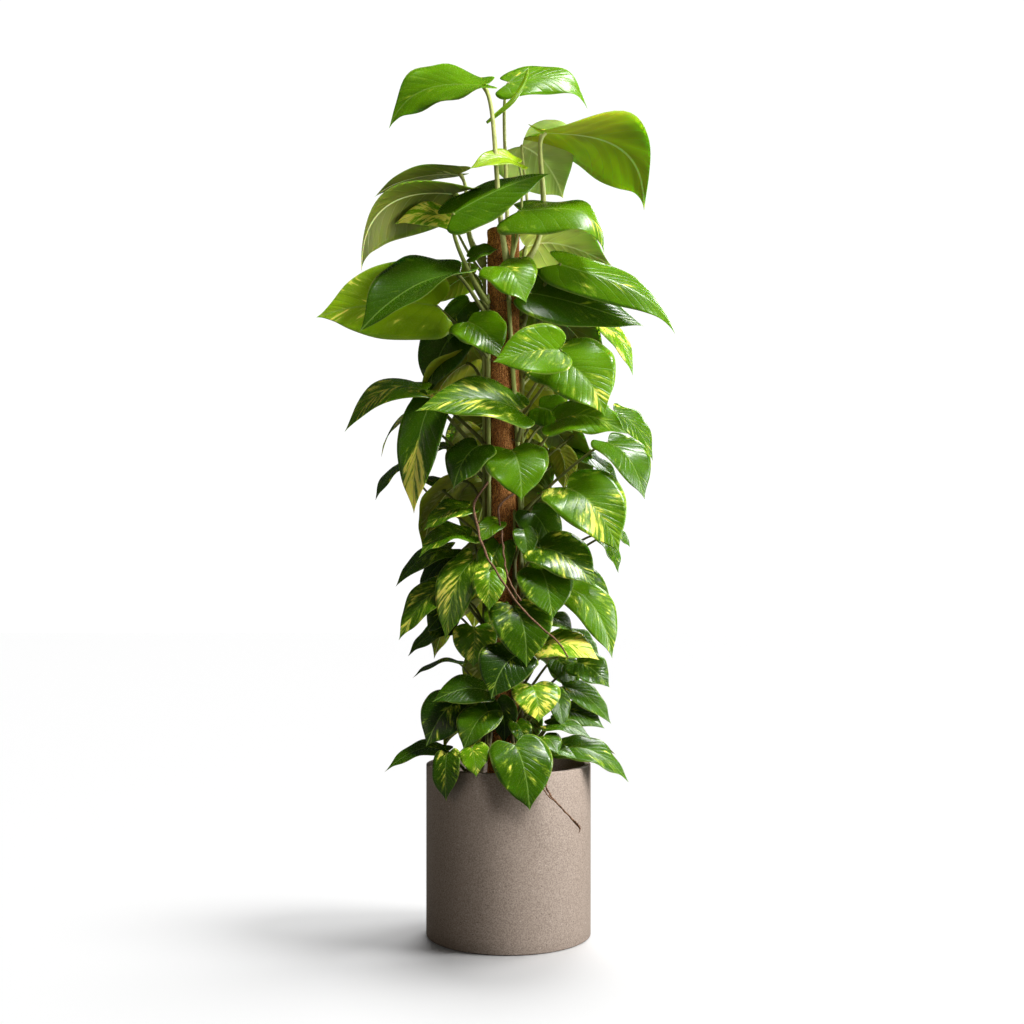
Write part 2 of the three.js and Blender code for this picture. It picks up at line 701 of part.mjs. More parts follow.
const plant = new THREE.Group();

function add(name, solid, color, roughness) {
  const material = new THREE.MeshStandardMaterial({ color, roughness, metalness: 0 });
  const mesh = new THREE.Mesh(geometryOf(solid), material);
  mesh.name = name;
  plant.add(mesh);
}

add('pot', potSolid(), 0x96826f, 0.85);
add('soil', soilSolid(), 0x2a1d14, 1);
add('pole_core', coreSolid(), 0x9c7a4e, 0.7);
add('coir_pole', coirSolid(), 0x6b3a22, 0.95);
for (const vine of VINES) {
  add(vine.name, wasm.Manifold.union(vineSolids(vine)), 0x3f7d20, 0.35);
}

export default plant;
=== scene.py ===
"""A golden pothos on a coir pole in a clay pot: the looks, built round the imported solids."""

import bmesh
import bpy
import numpy as np
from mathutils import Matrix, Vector


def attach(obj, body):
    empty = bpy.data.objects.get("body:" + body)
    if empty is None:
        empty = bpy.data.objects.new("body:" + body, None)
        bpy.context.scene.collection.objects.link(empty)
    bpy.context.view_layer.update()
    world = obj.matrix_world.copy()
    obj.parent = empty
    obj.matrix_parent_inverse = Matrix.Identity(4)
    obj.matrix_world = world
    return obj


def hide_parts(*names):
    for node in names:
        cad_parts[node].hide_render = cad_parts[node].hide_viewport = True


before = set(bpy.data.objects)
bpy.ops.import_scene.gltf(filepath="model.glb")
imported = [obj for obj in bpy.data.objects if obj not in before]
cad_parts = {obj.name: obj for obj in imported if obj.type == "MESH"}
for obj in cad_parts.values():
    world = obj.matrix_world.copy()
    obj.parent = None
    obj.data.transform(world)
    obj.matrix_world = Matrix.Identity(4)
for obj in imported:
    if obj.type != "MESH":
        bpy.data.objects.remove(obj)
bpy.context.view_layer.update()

# The viewpoint and the studio.
# The camera stands level, two metres off and a little above the middle of the plant. The floor is a
# plain pale sheet, a broad soft light comes from the right and a weak one fills the left.
MM = 0.001
VIEW_POINT = np.array([0.0, -2082.0, 560.0])
FOCAL_PX = 1190
FRAME_PX = 1024
SENSOR_MM = 36
HORIZON_PX = 612
CENTRE_PX = 508.5

lens = bpy.data.cameras.new("photo_camera")
lens.sensor_width = SENSOR_MM
lens.lens = SENSOR_MM * FOCAL_PX / FRAME_PX
lens.shift_x = (FRAME_PX / 2 - CENTRE_PX) / FRAME_PX
lens.shift_y = (HORIZON_PX - FRAME_PX / 2) / FRAME_PX
lens.clip_end = 60
camera = bpy.data.objects.new("photo_camera", lens)
camera.location = VIEW_POINT * MM
camera.rotation_euler = (np.pi / 2, 0, 0)
bpy.context.collection.objects.link(camera)
bpy.context.scene.camera = camera
bpy.context.scene.view_settings.view_transform = "Standard"


def node(tree, kind, wires=None, **settings):
    """Adds one shader node. wires maps an input's name or number to a value or to another node's output."""
    made = tree.nodes.new(kind)
    for key, value in settings.items():
        setattr(made, key, value)
    for key, value in (wires or {}).items():
        if isinstance(value, bpy.types.NodeSocket):
            tree.links.new(value, made.inputs[key])
        else:
            made.inputs[key].default_value = value
    return made


def maths(tree, operation, *values):
    """One Math node's output: the operation on the values."""
    return node(tree, "ShaderNodeMath", dict(enumerate(values)), operation=operation).outputs[0]


def between(tree, value, low, high, to_low=0.0, to_high=1.0):
    """The value eased from low..high to to_low..to_high, and held outside."""
    wires = {"Value": value, "From Min": low, "From Max": high, "To Min": to_low, "To Max": to_high}
    return node(tree, "ShaderNodeMapRange", wires, interpolation_type="SMOOTHSTEP").outputs[0]


def blend(tree, share, first, second):
    """The first colour turned into the second by the share."""
    made = node(tree, "ShaderNodeMix", data_type="RGBA")
    for socket, value in ((made.inputs[0], share), (made.inputs[6], first), (made.inputs[7], second)):
        if isinstance(value, bpy.types.NodeSocket):
            tree.links.new(value, socket)
        else:
            socket.default_value = value
    return made.outputs[2]


def finish(name, roughness, **sockets):
    """A new material with one Principled BSDF, whose plain numbers are set on its own sockets."""
    made = bpy.data.materials.new(name)
    made.use_nodes = True
    shader = made.node_tree.nodes["Principled BSDF"]
    shader.inputs["Roughness"].default_value = roughness
    for key, value in sockets.items():
        shader.inputs[key.replace("_", " ")].default_value = value
    return made, made.node_tree, shader


def piece(name, points_mm, faces, materials, slots=None, corners=None, marks=None):
    """A mesh object in metres from points in millimetres and lists of corner numbers. slots gives each
    face's material, corners the UV of each face corner in order, and marks named numbers for each point."""
    mesh = bpy.data.meshes.new(name)
    mesh.from_pydata((np.asarray(points_mm) * MM).tolist(), [], faces)
    for made in materials:
        mesh.materials.append(made)
    if slots is not None:
        mesh.polygons.foreach_set("material_index", np.asarray(slots, np.int32))
    if corners is not None:
        layer = mesh.uv_layers.new(name="pattern")
        layer.data.foreach_set("uv", np.asarray(corners, np.float32).ravel())
    for key, values in (marks or {}).items():
        mark = mesh.attributes.new(key, "FLOAT", "POINT")
        mark.data.foreach_set("value", np.asarray(values, np.float32))
    mesh.polygons.foreach_set("use_smooth", np.ones(len(mesh.polygons), bool))
    mesh.update()
    made = bpy.data.objects.new(name, mesh)
    bpy.context.collection.objects.link(made)
    return made


FLOOR_REACH = 30000
FLOOR_DEPTH = 0.5
FLOOR_CORNERS = np.array([(-1, -1, -1), (1, -1, -1), (1, 1, -1), (-1, 1, -1)])
floor_paint, tree, shader = finish("pale_floor", 0.9, Specular_IOR_Level=0.1)
seen_by_camera = node(tree, "ShaderNodeLightPath").outputs["Is Camera Ray"]
paint = blend(tree, seen_by_camera, (0.24, 0.24, 0.23, 1), (0.95, 0.95, 0.95, 1))
tree.links.new(paint, shader.inputs["Base Color"])
floor_points = FLOOR_CORNERS * (FLOOR_REACH, FLOOR_REACH, FLOOR_DEPTH)
floor = piece("floor", floor_points, [(0, 1, 2, 3)], [floor_paint])


def floor_group(name, state):
    """A light group that holds the floor alone: INCLUDE lights just the floor, EXCLUDE all but the floor."""
    made = bpy.data.collections.new(name)
    made.objects.link(floor)
    made.collection_objects[0].light_linking.link_state = state
    return made


on_floor = floor_group("on_floor", "INCLUDE")
on_plant = floor_group("on_plant", "EXCLUDE")
on_leaves = floor_group("on_leaves", "EXCLUDE")
on_pot = bpy.data.collections.new("on_pot")
casts_low = bpy.data.collections.new("casts_low")


def lamp(name, kind, place, target, power, lights=on_plant, **settings):
    """A light at a place in metres that looks at a target and lights one of the light groups."""
    light = bpy.data.lights.new(name, kind)
    light.energy = power
    for key, value in settings.items():
        setattr(light, key, value)
    made = bpy.data.objects.new(name, light)
    made.location = place
    made.rotation_euler = (Vector(target) - Vector(place)).to_track_quat("-Z", "Y").to_euler()
    made.light_linking.receiver_collection = lights
    bpy.context.collection.objects.link(made)
    return made


lamp("key_above", "SUN", (1.3, -1.0, 3.0), (0, 0, 0), 3.3, on_leaves, angle=0.2)
for name, place, target_z, power, width, height in (
    ("softbox_above", (0.9, -0.9, 3.8), 0.9, 50, 1.0, 0.8),
    ("softbox_right", (2.5, -0.85, 1.2), 0.7, 106, 0.9, 2.0),
    ("softbox_back", (1.1, 1.8, 2.1), 1.1, 42, 1.0, 1.2),
):
    lamp(name, "AREA", place, (0, 0, target_z), power, shape="RECTANGLE", size=width, size_y=height)
low = lamp("softbox_pot", "AREA", (0.45, -0.55, 0.95), (0, 0, 0.12), 11, on_pot, shape="SQUARE", size=0.4)
low.visible_camera = False
lamp(
    "fill_left", "AREA", (-2.2, -1.8, 1.7), (0, 0, 0.9), 8,
    shape="RECTANGLE", size=1.2, size_y=1.6, color=(1, 0.86, 0.7),
)
for name, place, power, angle in (
    ("floor_right", (2.0, -0.2, 1.36), 1.68, 0.4),
    ("floor_between", (1.5, 0.95, 1.52), 1.5, 0.6),
    ("floor_back", (0.27, 2.0, 2.5), 1.66, 0.55),
):
    low = lamp(name, "SUN", place, (0, 0, 0), power, on_floor, angle=angle)
    low.light_linking.blocker_collection = casts_low

sky = bpy.data.worlds.new("white_studio")
bpy.context.scene.world = sky
sky.use_nodes = True
tree = sky.node_tree
glow = tree.nodes["Background"]
glow.inputs["Color"].default_value = (1, 1, 1, 1)
seen_by_camera = node(tree, "ShaderNodeLightPath").outputs["Is Camera Ray"]
tree.links.new(between(tree, seen_by_camera, 0.0, 1.0, 0.045, 1.05), glow.inputs["Strength"])

# The pot: a plain cylinder of fibre clay, cast in a mould, with a thick wall and a crisp rim.
# Its warm taupe face is matte and sandy, with fine dark and pale specks and a few tiny pits.
POT_RADIUS = 143.5
POT_HEIGHT = 296
POT_WALL = 11
POT_FLOOR = 26
POT_EDGE = 1.5


def arc(radius, z, size, start, end, steps=5):
    """Profile points on a quarter circle of the given size round (radius, z), from one angle to another."""
    turn = np.radians(np.linspace(start, end, steps))
    return np.stack([radius + size * np.cos(turn), z + size * np.sin(turn)], 1)


def rows_between(first, last, count):
    """Profile points spaced evenly on a straight line, without its ends."""
    share = np.linspace(0, 1, count + 2)[1:-1, None]
    return np.array(first) * (1 - share) + np.array(last) * share


def grid_faces(rows, columns, first=0):
    """Corner numbers of the quads between rings of points, and the UV of each corner. The last column joins
    the first one."""
    i, j = np.meshgrid(np.arange(rows - 1), np.arange(columns), indexing="ij")
    i, j = i.ravel(), j.ravel()
    k = (j + 1) % columns
    lower, upper = i * columns + first, (i + 1) * columns + first
    faces = np.stack([lower + j, lower + k, upper + k, upper + j], 1)
    u = np.stack([j, j + 1, j + 1, j], 1) / columns
    v = np.stack([i, i, i + 1, i + 1], 1) / (rows - 1)
    return faces, np.stack([u, v], 2)


def turned(profile, sides, centre=(0.0, 0.0)):
    """Points of a profile (r, z) turned round an upright axis: centre + r (cos a, sin a), and z as it is."""
    angle = np.arange(sides) * 2 * np.pi / sides
    around = np.stack([np.cos(angle), np.sin(angle)], 1)
    flat = profile[:, None, :1] * around[None] + np.array(centre)
    return np.concatenate([flat, np.broadcast_to(profile[:, None, 1:], flat.shape[:2] + (1,))], 2)


def new_group(name, place, inputs, outputs):
    """An empty shader node group. Its first input is a place, and all its other sockets are numbers."""
    group = bpy.data.node_groups.new(name, "ShaderNodeTree")
    group.interface.new_socket(place, in_out="INPUT", socket_type="NodeSocketVector")
    for way, names in (("INPUT", inputs), ("OUTPUT", outputs)):
        for key in names:
            group.interface.new_socket(key, in_out=way, socket_type="NodeSocketFloat")
    return group


def object_place(tree):
    """Where a point lies on the whole object, in metres."""
    return node(tree, "ShaderNodeTexCoord").outputs["Object"]


def noise(tree, place, scale, detail, roughness=0.5):
    """A cloudy value about 0.5 at a place."""
    wires = {"Vector": place, "Scale": scale, "Detail": detail, "Roughness": roughness}
    return node(tree, "ShaderNodeTexNoise", wires).outputs[0]


def speckle_group():
    """Fine grain for cast clay, soil and bark: a grainy value, dark specks, pale specks and a height."""
    group = new_group(
        "Fine grain", "Coordinates", ["Grain size"], ["Grain", "Dark specks", "Pale specks", "Height"],
    )
    inside = node(group, "NodeGroupInput").outputs
    place = inside["Coordinates"]
    scale = maths(group, "DIVIDE", 1.0, inside["Grain size"])
    fine = noise(group, place, scale, 3.0, 0.65)
    half = maths(group, "MULTIPLY", scale, 0.55)
    cells = node(group, "ShaderNodeTexVoronoi", {"Vector": place, "Scale": half})
    pick = node(group, "ShaderNodeSeparateColor", {0: cells.outputs["Color"]}).outputs
    dot = between(group, cells.outputs["Distance"], 0.38, 0.16)
    dark = maths(group, "MULTIPLY", dot, between(group, pick[0], 0.86, 0.97))
    pale = maths(group, "MULTIPLY", dot, between(group, pick[1], 0.8, 0.95))
    height = maths(group, "SUBTRACT", fine, maths(group, "MULTIPLY", dark, 0.7))
    wires = {"Grain": fine, "Dark specks": dark, "Pale specks": pale, "Height": height}
    node(group, "NodeGroupOutput", wires)
    return group


fine_grain = speckle_group()


def grain(tree, size, coordinates):
    """Places the fine grain group with its own grain size in metres."""
    made = node(tree, "ShaderNodeGroup", node_tree=fine_grain)
    tree.links.new(coordinates, made.inputs["Coordinates"])
    made.inputs["Grain size"].default_value = size
    return made.outputs


def stained(tree, body, stains):
    """The body colour under stains laid on one by one. A stain is a mask, its strength and its colour."""
    for mask, strength, colour in stains:
        body = blend(tree, maths(tree, "MULTIPLY", mask, strength), body, (*colour, 1))
    return body


def relief(tree, shader, height, distance, strength=1.0):
    """Feeds a height through a Bump node to the shader's normal."""
    wires = {"Height": height, "Distance": distance, "Strength": strength}
    tree.links.new(node(tree, "ShaderNodeBump", wires).outputs[0], shader.inputs["Normal"])


clay, tree, shader = finish("taupe_fibre_clay", 0.62, Specular_IOR_Level=0.28)
place = object_place(tree)
sand = grain(tree, 0.0023, place)
cloud = noise(tree, place, 9.0, 4.0, 0.6)
body = blend(tree, between(tree, cloud, 0.3, 0.7), (0.2, 0.154, 0.121, 1), (0.225, 0.175, 0.14, 1))
body = blend(tree, between(tree, sand["Grain"], 0.38, 0.6, 0.0, 0.85), body, (0.335, 0.272, 0.225, 1))
pits = node(tree, "ShaderNodeTexVoronoi", {"Vector": place, "Scale": 26.0}).outputs
lot = node(tree, "ShaderNodeSeparateColor", {0: pits["Color"]}).outputs[2]
pit = maths(tree, "MULTIPLY", between(tree, pits["Distance"], 0.045, 0.02), between(tree, lot, 0.9, 0.92))
body = stained(tree, body, (
    (sand["Dark specks"], 0.55, (0.06, 0.04, 0.028)),
    (sand["Pale specks"], 0.4, (0.55, 0.47, 0.40)),
    (pit, 0.8, (0.05, 0.035, 0.025)),
))
tree.links.new(body, shader.inputs["Base Color"])
height = maths(tree, "SUBTRACT", sand["Height"], maths(tree, "MULTIPLY", pit, 2.0))
relief(tree, shader, height, 0.0004, 0.55)

inner = POT_RADIUS - POT_WALL
profile = np.concatenate([
    [(0, 0)], rows_between((0, 0), (POT_RADIUS - POT_EDGE, 0), 4),
    arc(POT_RADIUS - POT_EDGE, POT_EDGE, POT_EDGE, -90, 0),
    rows_between((POT_RADIUS, POT_EDGE), (POT_RADIUS, POT_HEIGHT - POT_EDGE), 12),
    arc(POT_RADIUS - POT_EDGE, POT_HEIGHT - POT_EDGE, POT_EDGE, 0, 90),
    arc(inner + POT_EDGE, POT_HEIGHT - POT_EDGE, POT_EDGE, 90, 180),
    rows_between((inner, POT_HEIGHT - POT_EDGE), (inner, POT_FLOOR), 8),
    [(inner, POT_FLOOR)], rows_between((inner, POT_FLOOR), (0, POT_FLOOR), 4), [(0, POT_FLOOR)],
])
POT_SIDES = 160
shell = turned(profile, POT_SIDES)


def closed_skin(rings):
    """Faces of a stack of rings of points whose first and last rings shrink to one point each."""
    rows, sides = rings.shape[:2]
    faces = grid_faces(rows - 2, sides, first=1)[0].tolist()
    points = np.concatenate([rings[:1, 0], rings[1:-1].reshape(-1, 3), rings[-1:, 0]])
    last = len(points) - 1
    ring = np.arange(sides)
    after = (ring + 1) % sides
    faces += np.stack([np.zeros_like(ring), 1 + after, 1 + ring], 1).tolist()
    top = 1 + (rows - 3) * sides
    faces += np.stack([np.full_like(ring, last), top + ring, top + after], 1).tolist()
    return points, faces


pot = piece("pot_cylinder", *closed_skin(shell), [clay])
for group in (casts_low, on_pot, on_leaves):
    group.objects.link(pot)
on_leaves.collection_objects[-1].light_linking.link_state = "EXCLUDE"
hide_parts("pot")
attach(pot, "root")

# The potting soil: dark peat and bark crumbs, loosely filled to a finger's width below the rim.
# Its top is uneven, and small lumps lie on it.
FIT_GAP = 0.3
SOIL_TOP = 264
SOIL_SIDES = 96
SOIL_WALL_ROWS = 5
SOIL_TOP_ROWS = 44
SOIL_SINK = 2.4
CRUMBS = 650
LUMP_WAVES = 8
LUMP_SHORTER = 0.72
LUMP_LOWER = 0.8
LUMP_SUM = 2.6


def lumps(x, y, seed, size):
    """Smooth random relief from about -1 to 1: a sum of eight sine waves in drawn directions, each shorter
    and lower than the one before. size is the length of the first."""
    draw = np.random.default_rng(seed)
    total = np.zeros_like(x)
    for k in range(LUMP_WAVES):
        turn, shift = draw.uniform(0, 2 * np.pi, 2)
        rate = 2 * np.pi / (size * LUMP_SHORTER**k)
        total = total + LUMP_LOWER**k * np.sin(rate * (x * np.cos(turn) + y * np.sin(turn)) + shift)
    return total / LUMP_SUM


def soil_relief(x, y):
    """How far the top of the soil lies above its mean, in millimetres: lumps 46 mm apart, 2.2 mm high."""
    return 2.2 * lumps(x, y, 5, 46)


potting_soil, tree, shader = finish("potting_soil", 0.95, Specular_IOR_Level=0.2)
place = object_place(tree)
crumb = grain(tree, 0.004, place)
clods = between(tree, crumb["Grain"], 0.35, 0.65)
body = blend(tree, clods, (0.016, 0.010, 0.006, 1), (0.07, 0.042, 0.025, 1))
body = stained(tree, body, [(crumb["Pale specks"], 0.6, (0.22, 0.15, 0.09))])
tree.links.new(body, shader.inputs["Base Color"])
relief(tree, shader, crumb["Height"], 0.003)

soil_radius = inner - 2 * FIT_GAP
profile = np.concatenate([
    [(0, POT_FLOOR + FIT_GAP)], [(soil_radius, POT_FLOOR + FIT_GAP)],
    rows_between((soil_radius, POT_FLOOR), (soil_radius, SOIL_TOP), SOIL_WALL_ROWS),
    rows_between((soil_radius + 2, SOIL_TOP), (0, SOIL_TOP), SOIL_TOP_ROWS), [(0, SOIL_TOP)],
])
mound = turned(profile, SOIL_SIDES)
top = mound[2 + SOIL_WALL_ROWS:]
top[..., 2] += soil_relief(top[..., 0], top[..., 1]) - SOIL_SINK
heap_points, heap_faces = closed_skin(mound)

GOLDEN = (1 + 5**0.5) / 2
CRUMB_POINTS = np.array([
    (-1, GOLDEN, 0), (1, GOLDEN, 0), (-1, -GOLDEN, 0), (1, -GOLDEN, 0), (0, -1, GOLDEN), (0, 1, GOLDEN),
    (0, -1, -GOLDEN), (0, 1, -GOLDEN), (GOLDEN, 0, -1), (GOLDEN, 0, 1), (-GOLDEN, 0, -1), (-GOLDEN, 0, 1),
]) / 1.9
CRUMB_FACES = np.array([
    (0, 11, 5), (0, 5, 1), (0, 1, 7), (0, 7, 10), (0, 10, 11), (1, 5, 9), (5, 11, 4), (11, 10, 2), (10, 7, 6),
    (7, 1, 8), (3, 9, 4), (3, 4, 2), (3, 2, 6), (3, 6, 8), (3, 8, 9), (4, 9, 5), (2, 4, 11), (6, 2, 10),
    (8, 6, 7), (9, 8, 1),
])
draw = np.random.default_rng(11)
reach = (soil_radius - 5) * np.sqrt(draw.uniform(0.02, 1, CRUMBS))
angle = draw.uniform(0, 2 * np.pi, CRUMBS)
size = draw.uniform(1.3, 3.6, (CRUMBS, 1, 1)) * draw.uniform(0.6, 1.3, (CRUMBS, 12, 1))
middle = np.stack([reach * np.cos(angle), reach * np.sin(angle), np.full(CRUMBS, SOIL_TOP - 1.2)], 1)
middle[:, 2] += soil_relief(middle[:, 0], middle[:, 1])
bits = (middle[:, None] + CRUMB_POINTS * size).reshape(-1, 3)
bit_faces = CRUMB_FACES[None] + 12 * np.arange(CRUMBS)[:, None, None] + len(heap_points)
heap = piece(
    "potting_soil_heap", np.concatenate([heap_points, bits]), heap_faces + bit_faces.reshape(-1, 3).tolist(),
    [potting_soil],
)
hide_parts("soil")
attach(heap, "root")

# The stake inside the pole: a round stick of plain softwood. Only its end shows, from above.
POLE_X = -9
POLE_RADIUS = 28.5
POLE_FOOT = POT_FLOOR + FIT_GAP
POLE_TOP = POLE_FOOT + 1200
CORE_RADIUS = 15


def mapped(tree, place, **change):
    """The place moved, turned or scaled."""
    return node(tree, "ShaderNodeMapping", {"Vector": place, **change}).outputs[0]


stake_wood, tree, shader = finish("stake_softwood", 0.7, Specular_IOR_Level=0.3)
place = object_place(tree)
centred = mapped(tree, place, Location=(-POLE_X * MM, 0.004, 0))
rings = node(
    tree, "ShaderNodeTexWave", {"Vector": centred, "Scale": 130.0, "Distortion": 2.5, "Detail": 2.0},
    wave_type="RINGS", rings_direction="Z",
).outputs["Fac"]
tree.links.new(blend(tree, rings, (0.26, 0.15, 0.07, 1), (0.46, 0.3, 0.16, 1)), shader.inputs["Base Color"])
relief(tree, shader, rings, 0.0003)
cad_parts["pole_core"].data.materials.clear()
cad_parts["pole_core"].data.materials.append(stake_wood)

# The coir pole: coconut fibre pressed and wound into a thick reddish-brown sleeve on the stake.
# Its face is a mat of short wiry fibres, some of which stand away from it.
COIR_SIDES = 72
COIR_ROWS = 260
LIP_ROWS = 4
STRAND_SCALE = (900.0, 900.0, 60.0)
FIBRES = 1500
FIBRE_STEPS = 5
FIBRE_SIDES = 3
FIBRE_FOOT = POLE_FOOT + 240

coir, tree, shader = finish("coconut_fibre", 0.92, Specular_IOR_Level=0.1)
place = object_place(tree)
layers = []
for slope, turn in ((0.9, 0.0), (-0.7, 4.0), (0.1, 9.0)):
    leant = mapped(tree, place, Rotation=(slope, slope * 0.8, turn))
    layers.append(noise(tree, mapped(tree, leant, Scale=STRAND_SCALE), 1.0, 1.0))
strands_and_gap_shade = maths(tree, "MAXIMUM", maths(tree, "MAXIMUM", *layers[:2]), layers[2])
patch = noise(tree, place, 60.0, 3.0)
# The dark brown between the bright strands is partly the fibres' own colour and partly painted shade in the
# gaps between the fibres.
body = blend(tree, between(tree, strands_and_gap_shade, 0.5, 0.72), (0.24, 0.075, 0.018, 1), (1.0, 0.47, 0.15, 1))
body = blend(tree, between(tree, patch, 0.4, 0.7, 0.0, 0.45), body, (0.34, 0.11, 0.03, 1))
tree.links.new(body, shader.inputs["Base Color"])
relief(tree, shader, strands_and_gap_shade, 0.003)

sleeve_inner = CORE_RADIUS + 2 * FIT_GAP
z = np.linspace(POLE_FOOT, POLE_TOP, COIR_ROWS)
wall = np.stack([np.full(COIR_ROWS, float(POLE_RADIUS)), z], 1)
profile = np.concatenate([
    [(sleeve_inner, POLE_FOOT)], wall,
    rows_between((POLE_RADIUS - 1, POLE_TOP), (sleeve_inner, POLE_TOP), LIP_ROWS),
    [(sleeve_inner, POLE_TOP)], [(sleeve_inner, POLE_TOP - 40)],
])
sleeve = turned(profile, COIR_SIDES, (POLE_X, 0))
face = sleeve[1:1 + COIR_ROWS]
lip = sleeve[1 + COIR_ROWS:1 + COIR_ROWS + LIP_ROWS]
turn = np.arange(COIR_SIDES) * 2 * np.pi / COIR_SIDES * POLE_RADIUS
rough = lumps(turn[None, :] + 0 * z[:, None], z[:, None] + 0 * turn[None, :], 21, 23)
seam = 0.5 - 0.5 * np.cos(2 * np.pi * np.linspace(0, 1, COIR_SIDES, endpoint=False))
rough = rough * seam[None, :] ** 0.2
away = (face[:, :, :2] - (POLE_X, 0)) / POLE_RADIUS
face[:, :, :2] += away * (0.9 * rough - 0.6)[:, :, None]
lip[:, :, 2] += 1.5 * lumps(lip[:, :, 0], lip[:, :, 1], 3, 14)
rows = len(profile)
faces = grid_faces(rows, COIR_SIDES)[0]
closing = np.arange(COIR_SIDES)
following = (closing + 1) % COIR_SIDES
last = (rows - 1) * COIR_SIDES
ring_faces = np.stack([last + closing, last + following, following, closing], 1)
coir_points = [sleeve.reshape(-1, 3)]
coir_faces = faces.tolist() + ring_faces.tolist()

# Each fibre is a thin bowed curve laid on the face. The 4th power of a drawn share lifts its two ends,
# so that most fibres lie close and a few stand away.
draw = np.random.default_rng(31)
share = np.linspace(-0.5, 0.5, FIBRE_STEPS)[None]
heading_z = draw.uniform(-1, 1, (FIBRES, 1))
length = draw.uniform(9, 30, (FIBRES, 1))
middle_turn = draw.uniform(0, 2 * np.pi, (FIBRES, 1))
middle_z = draw.uniform(FIBRE_FOOT, POLE_TOP - 4, (FIBRES, 1))
lift = draw.uniform(0, 1, (FIBRES, 1)) ** 4 * 5 * (2 * share) ** 2
lift = 0.1 + lift * draw.choice([0.3, 1], (FIBRES, 1))
bow = draw.uniform(-4, 4, (FIBRES, 1)) * (1 - 4 * share**2)
around = middle_turn + (length * share * np.sqrt(1 - heading_z**2) + bow * heading_z) / POLE_RADIUS
height = np.minimum(middle_z + length * share * heading_z + bow * 0.5, POLE_TOP + 2)
from_axis = POLE_RADIUS + lift
line = np.stack([POLE_X + from_axis * np.cos(around), from_axis * np.sin(around), height], 2)
corner = np.arange(FIBRE_SIDES)[::-1, None] * 2 * np.pi / FIBRE_SIDES
thick = draw.uniform(0.13, 0.26, (FIBRES, 1, 1, 1)) * np.array([0.3, 1, 1, 1, 0.3])[None, :, None, None]
out_way = np.stack([np.cos(around), np.sin(around), 0 * around], 2)[:, :, None]
up_way = np.array([0, 0, 1.0])
ring = line[:, :, None] + thick * (np.cos(corner) * out_way + np.sin(corner) * up_way)
each = FIBRE_STEPS * FIBRE_SIDES
first = each * np.arange(FIBRES)[:, None, None] + rows * COIR_SIDES
every = grid_faces(FIBRE_STEPS, FIBRE_SIDES)[0] + first
ends = np.array([(2, 1, 0), (each - 3, each - 2, each - 1)]) + first
coir_points.append(ring.reshape(-1, 3))
coir_faces += every.reshape(-1, 4).tolist() + ends.reshape(-1, 3).tolist()
sleeve_piece = piece("coir_sleeve", np.concatenate(coir_points), coir_faces, [coir])
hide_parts("coir_pole")
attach(sleeve_piece, "root")
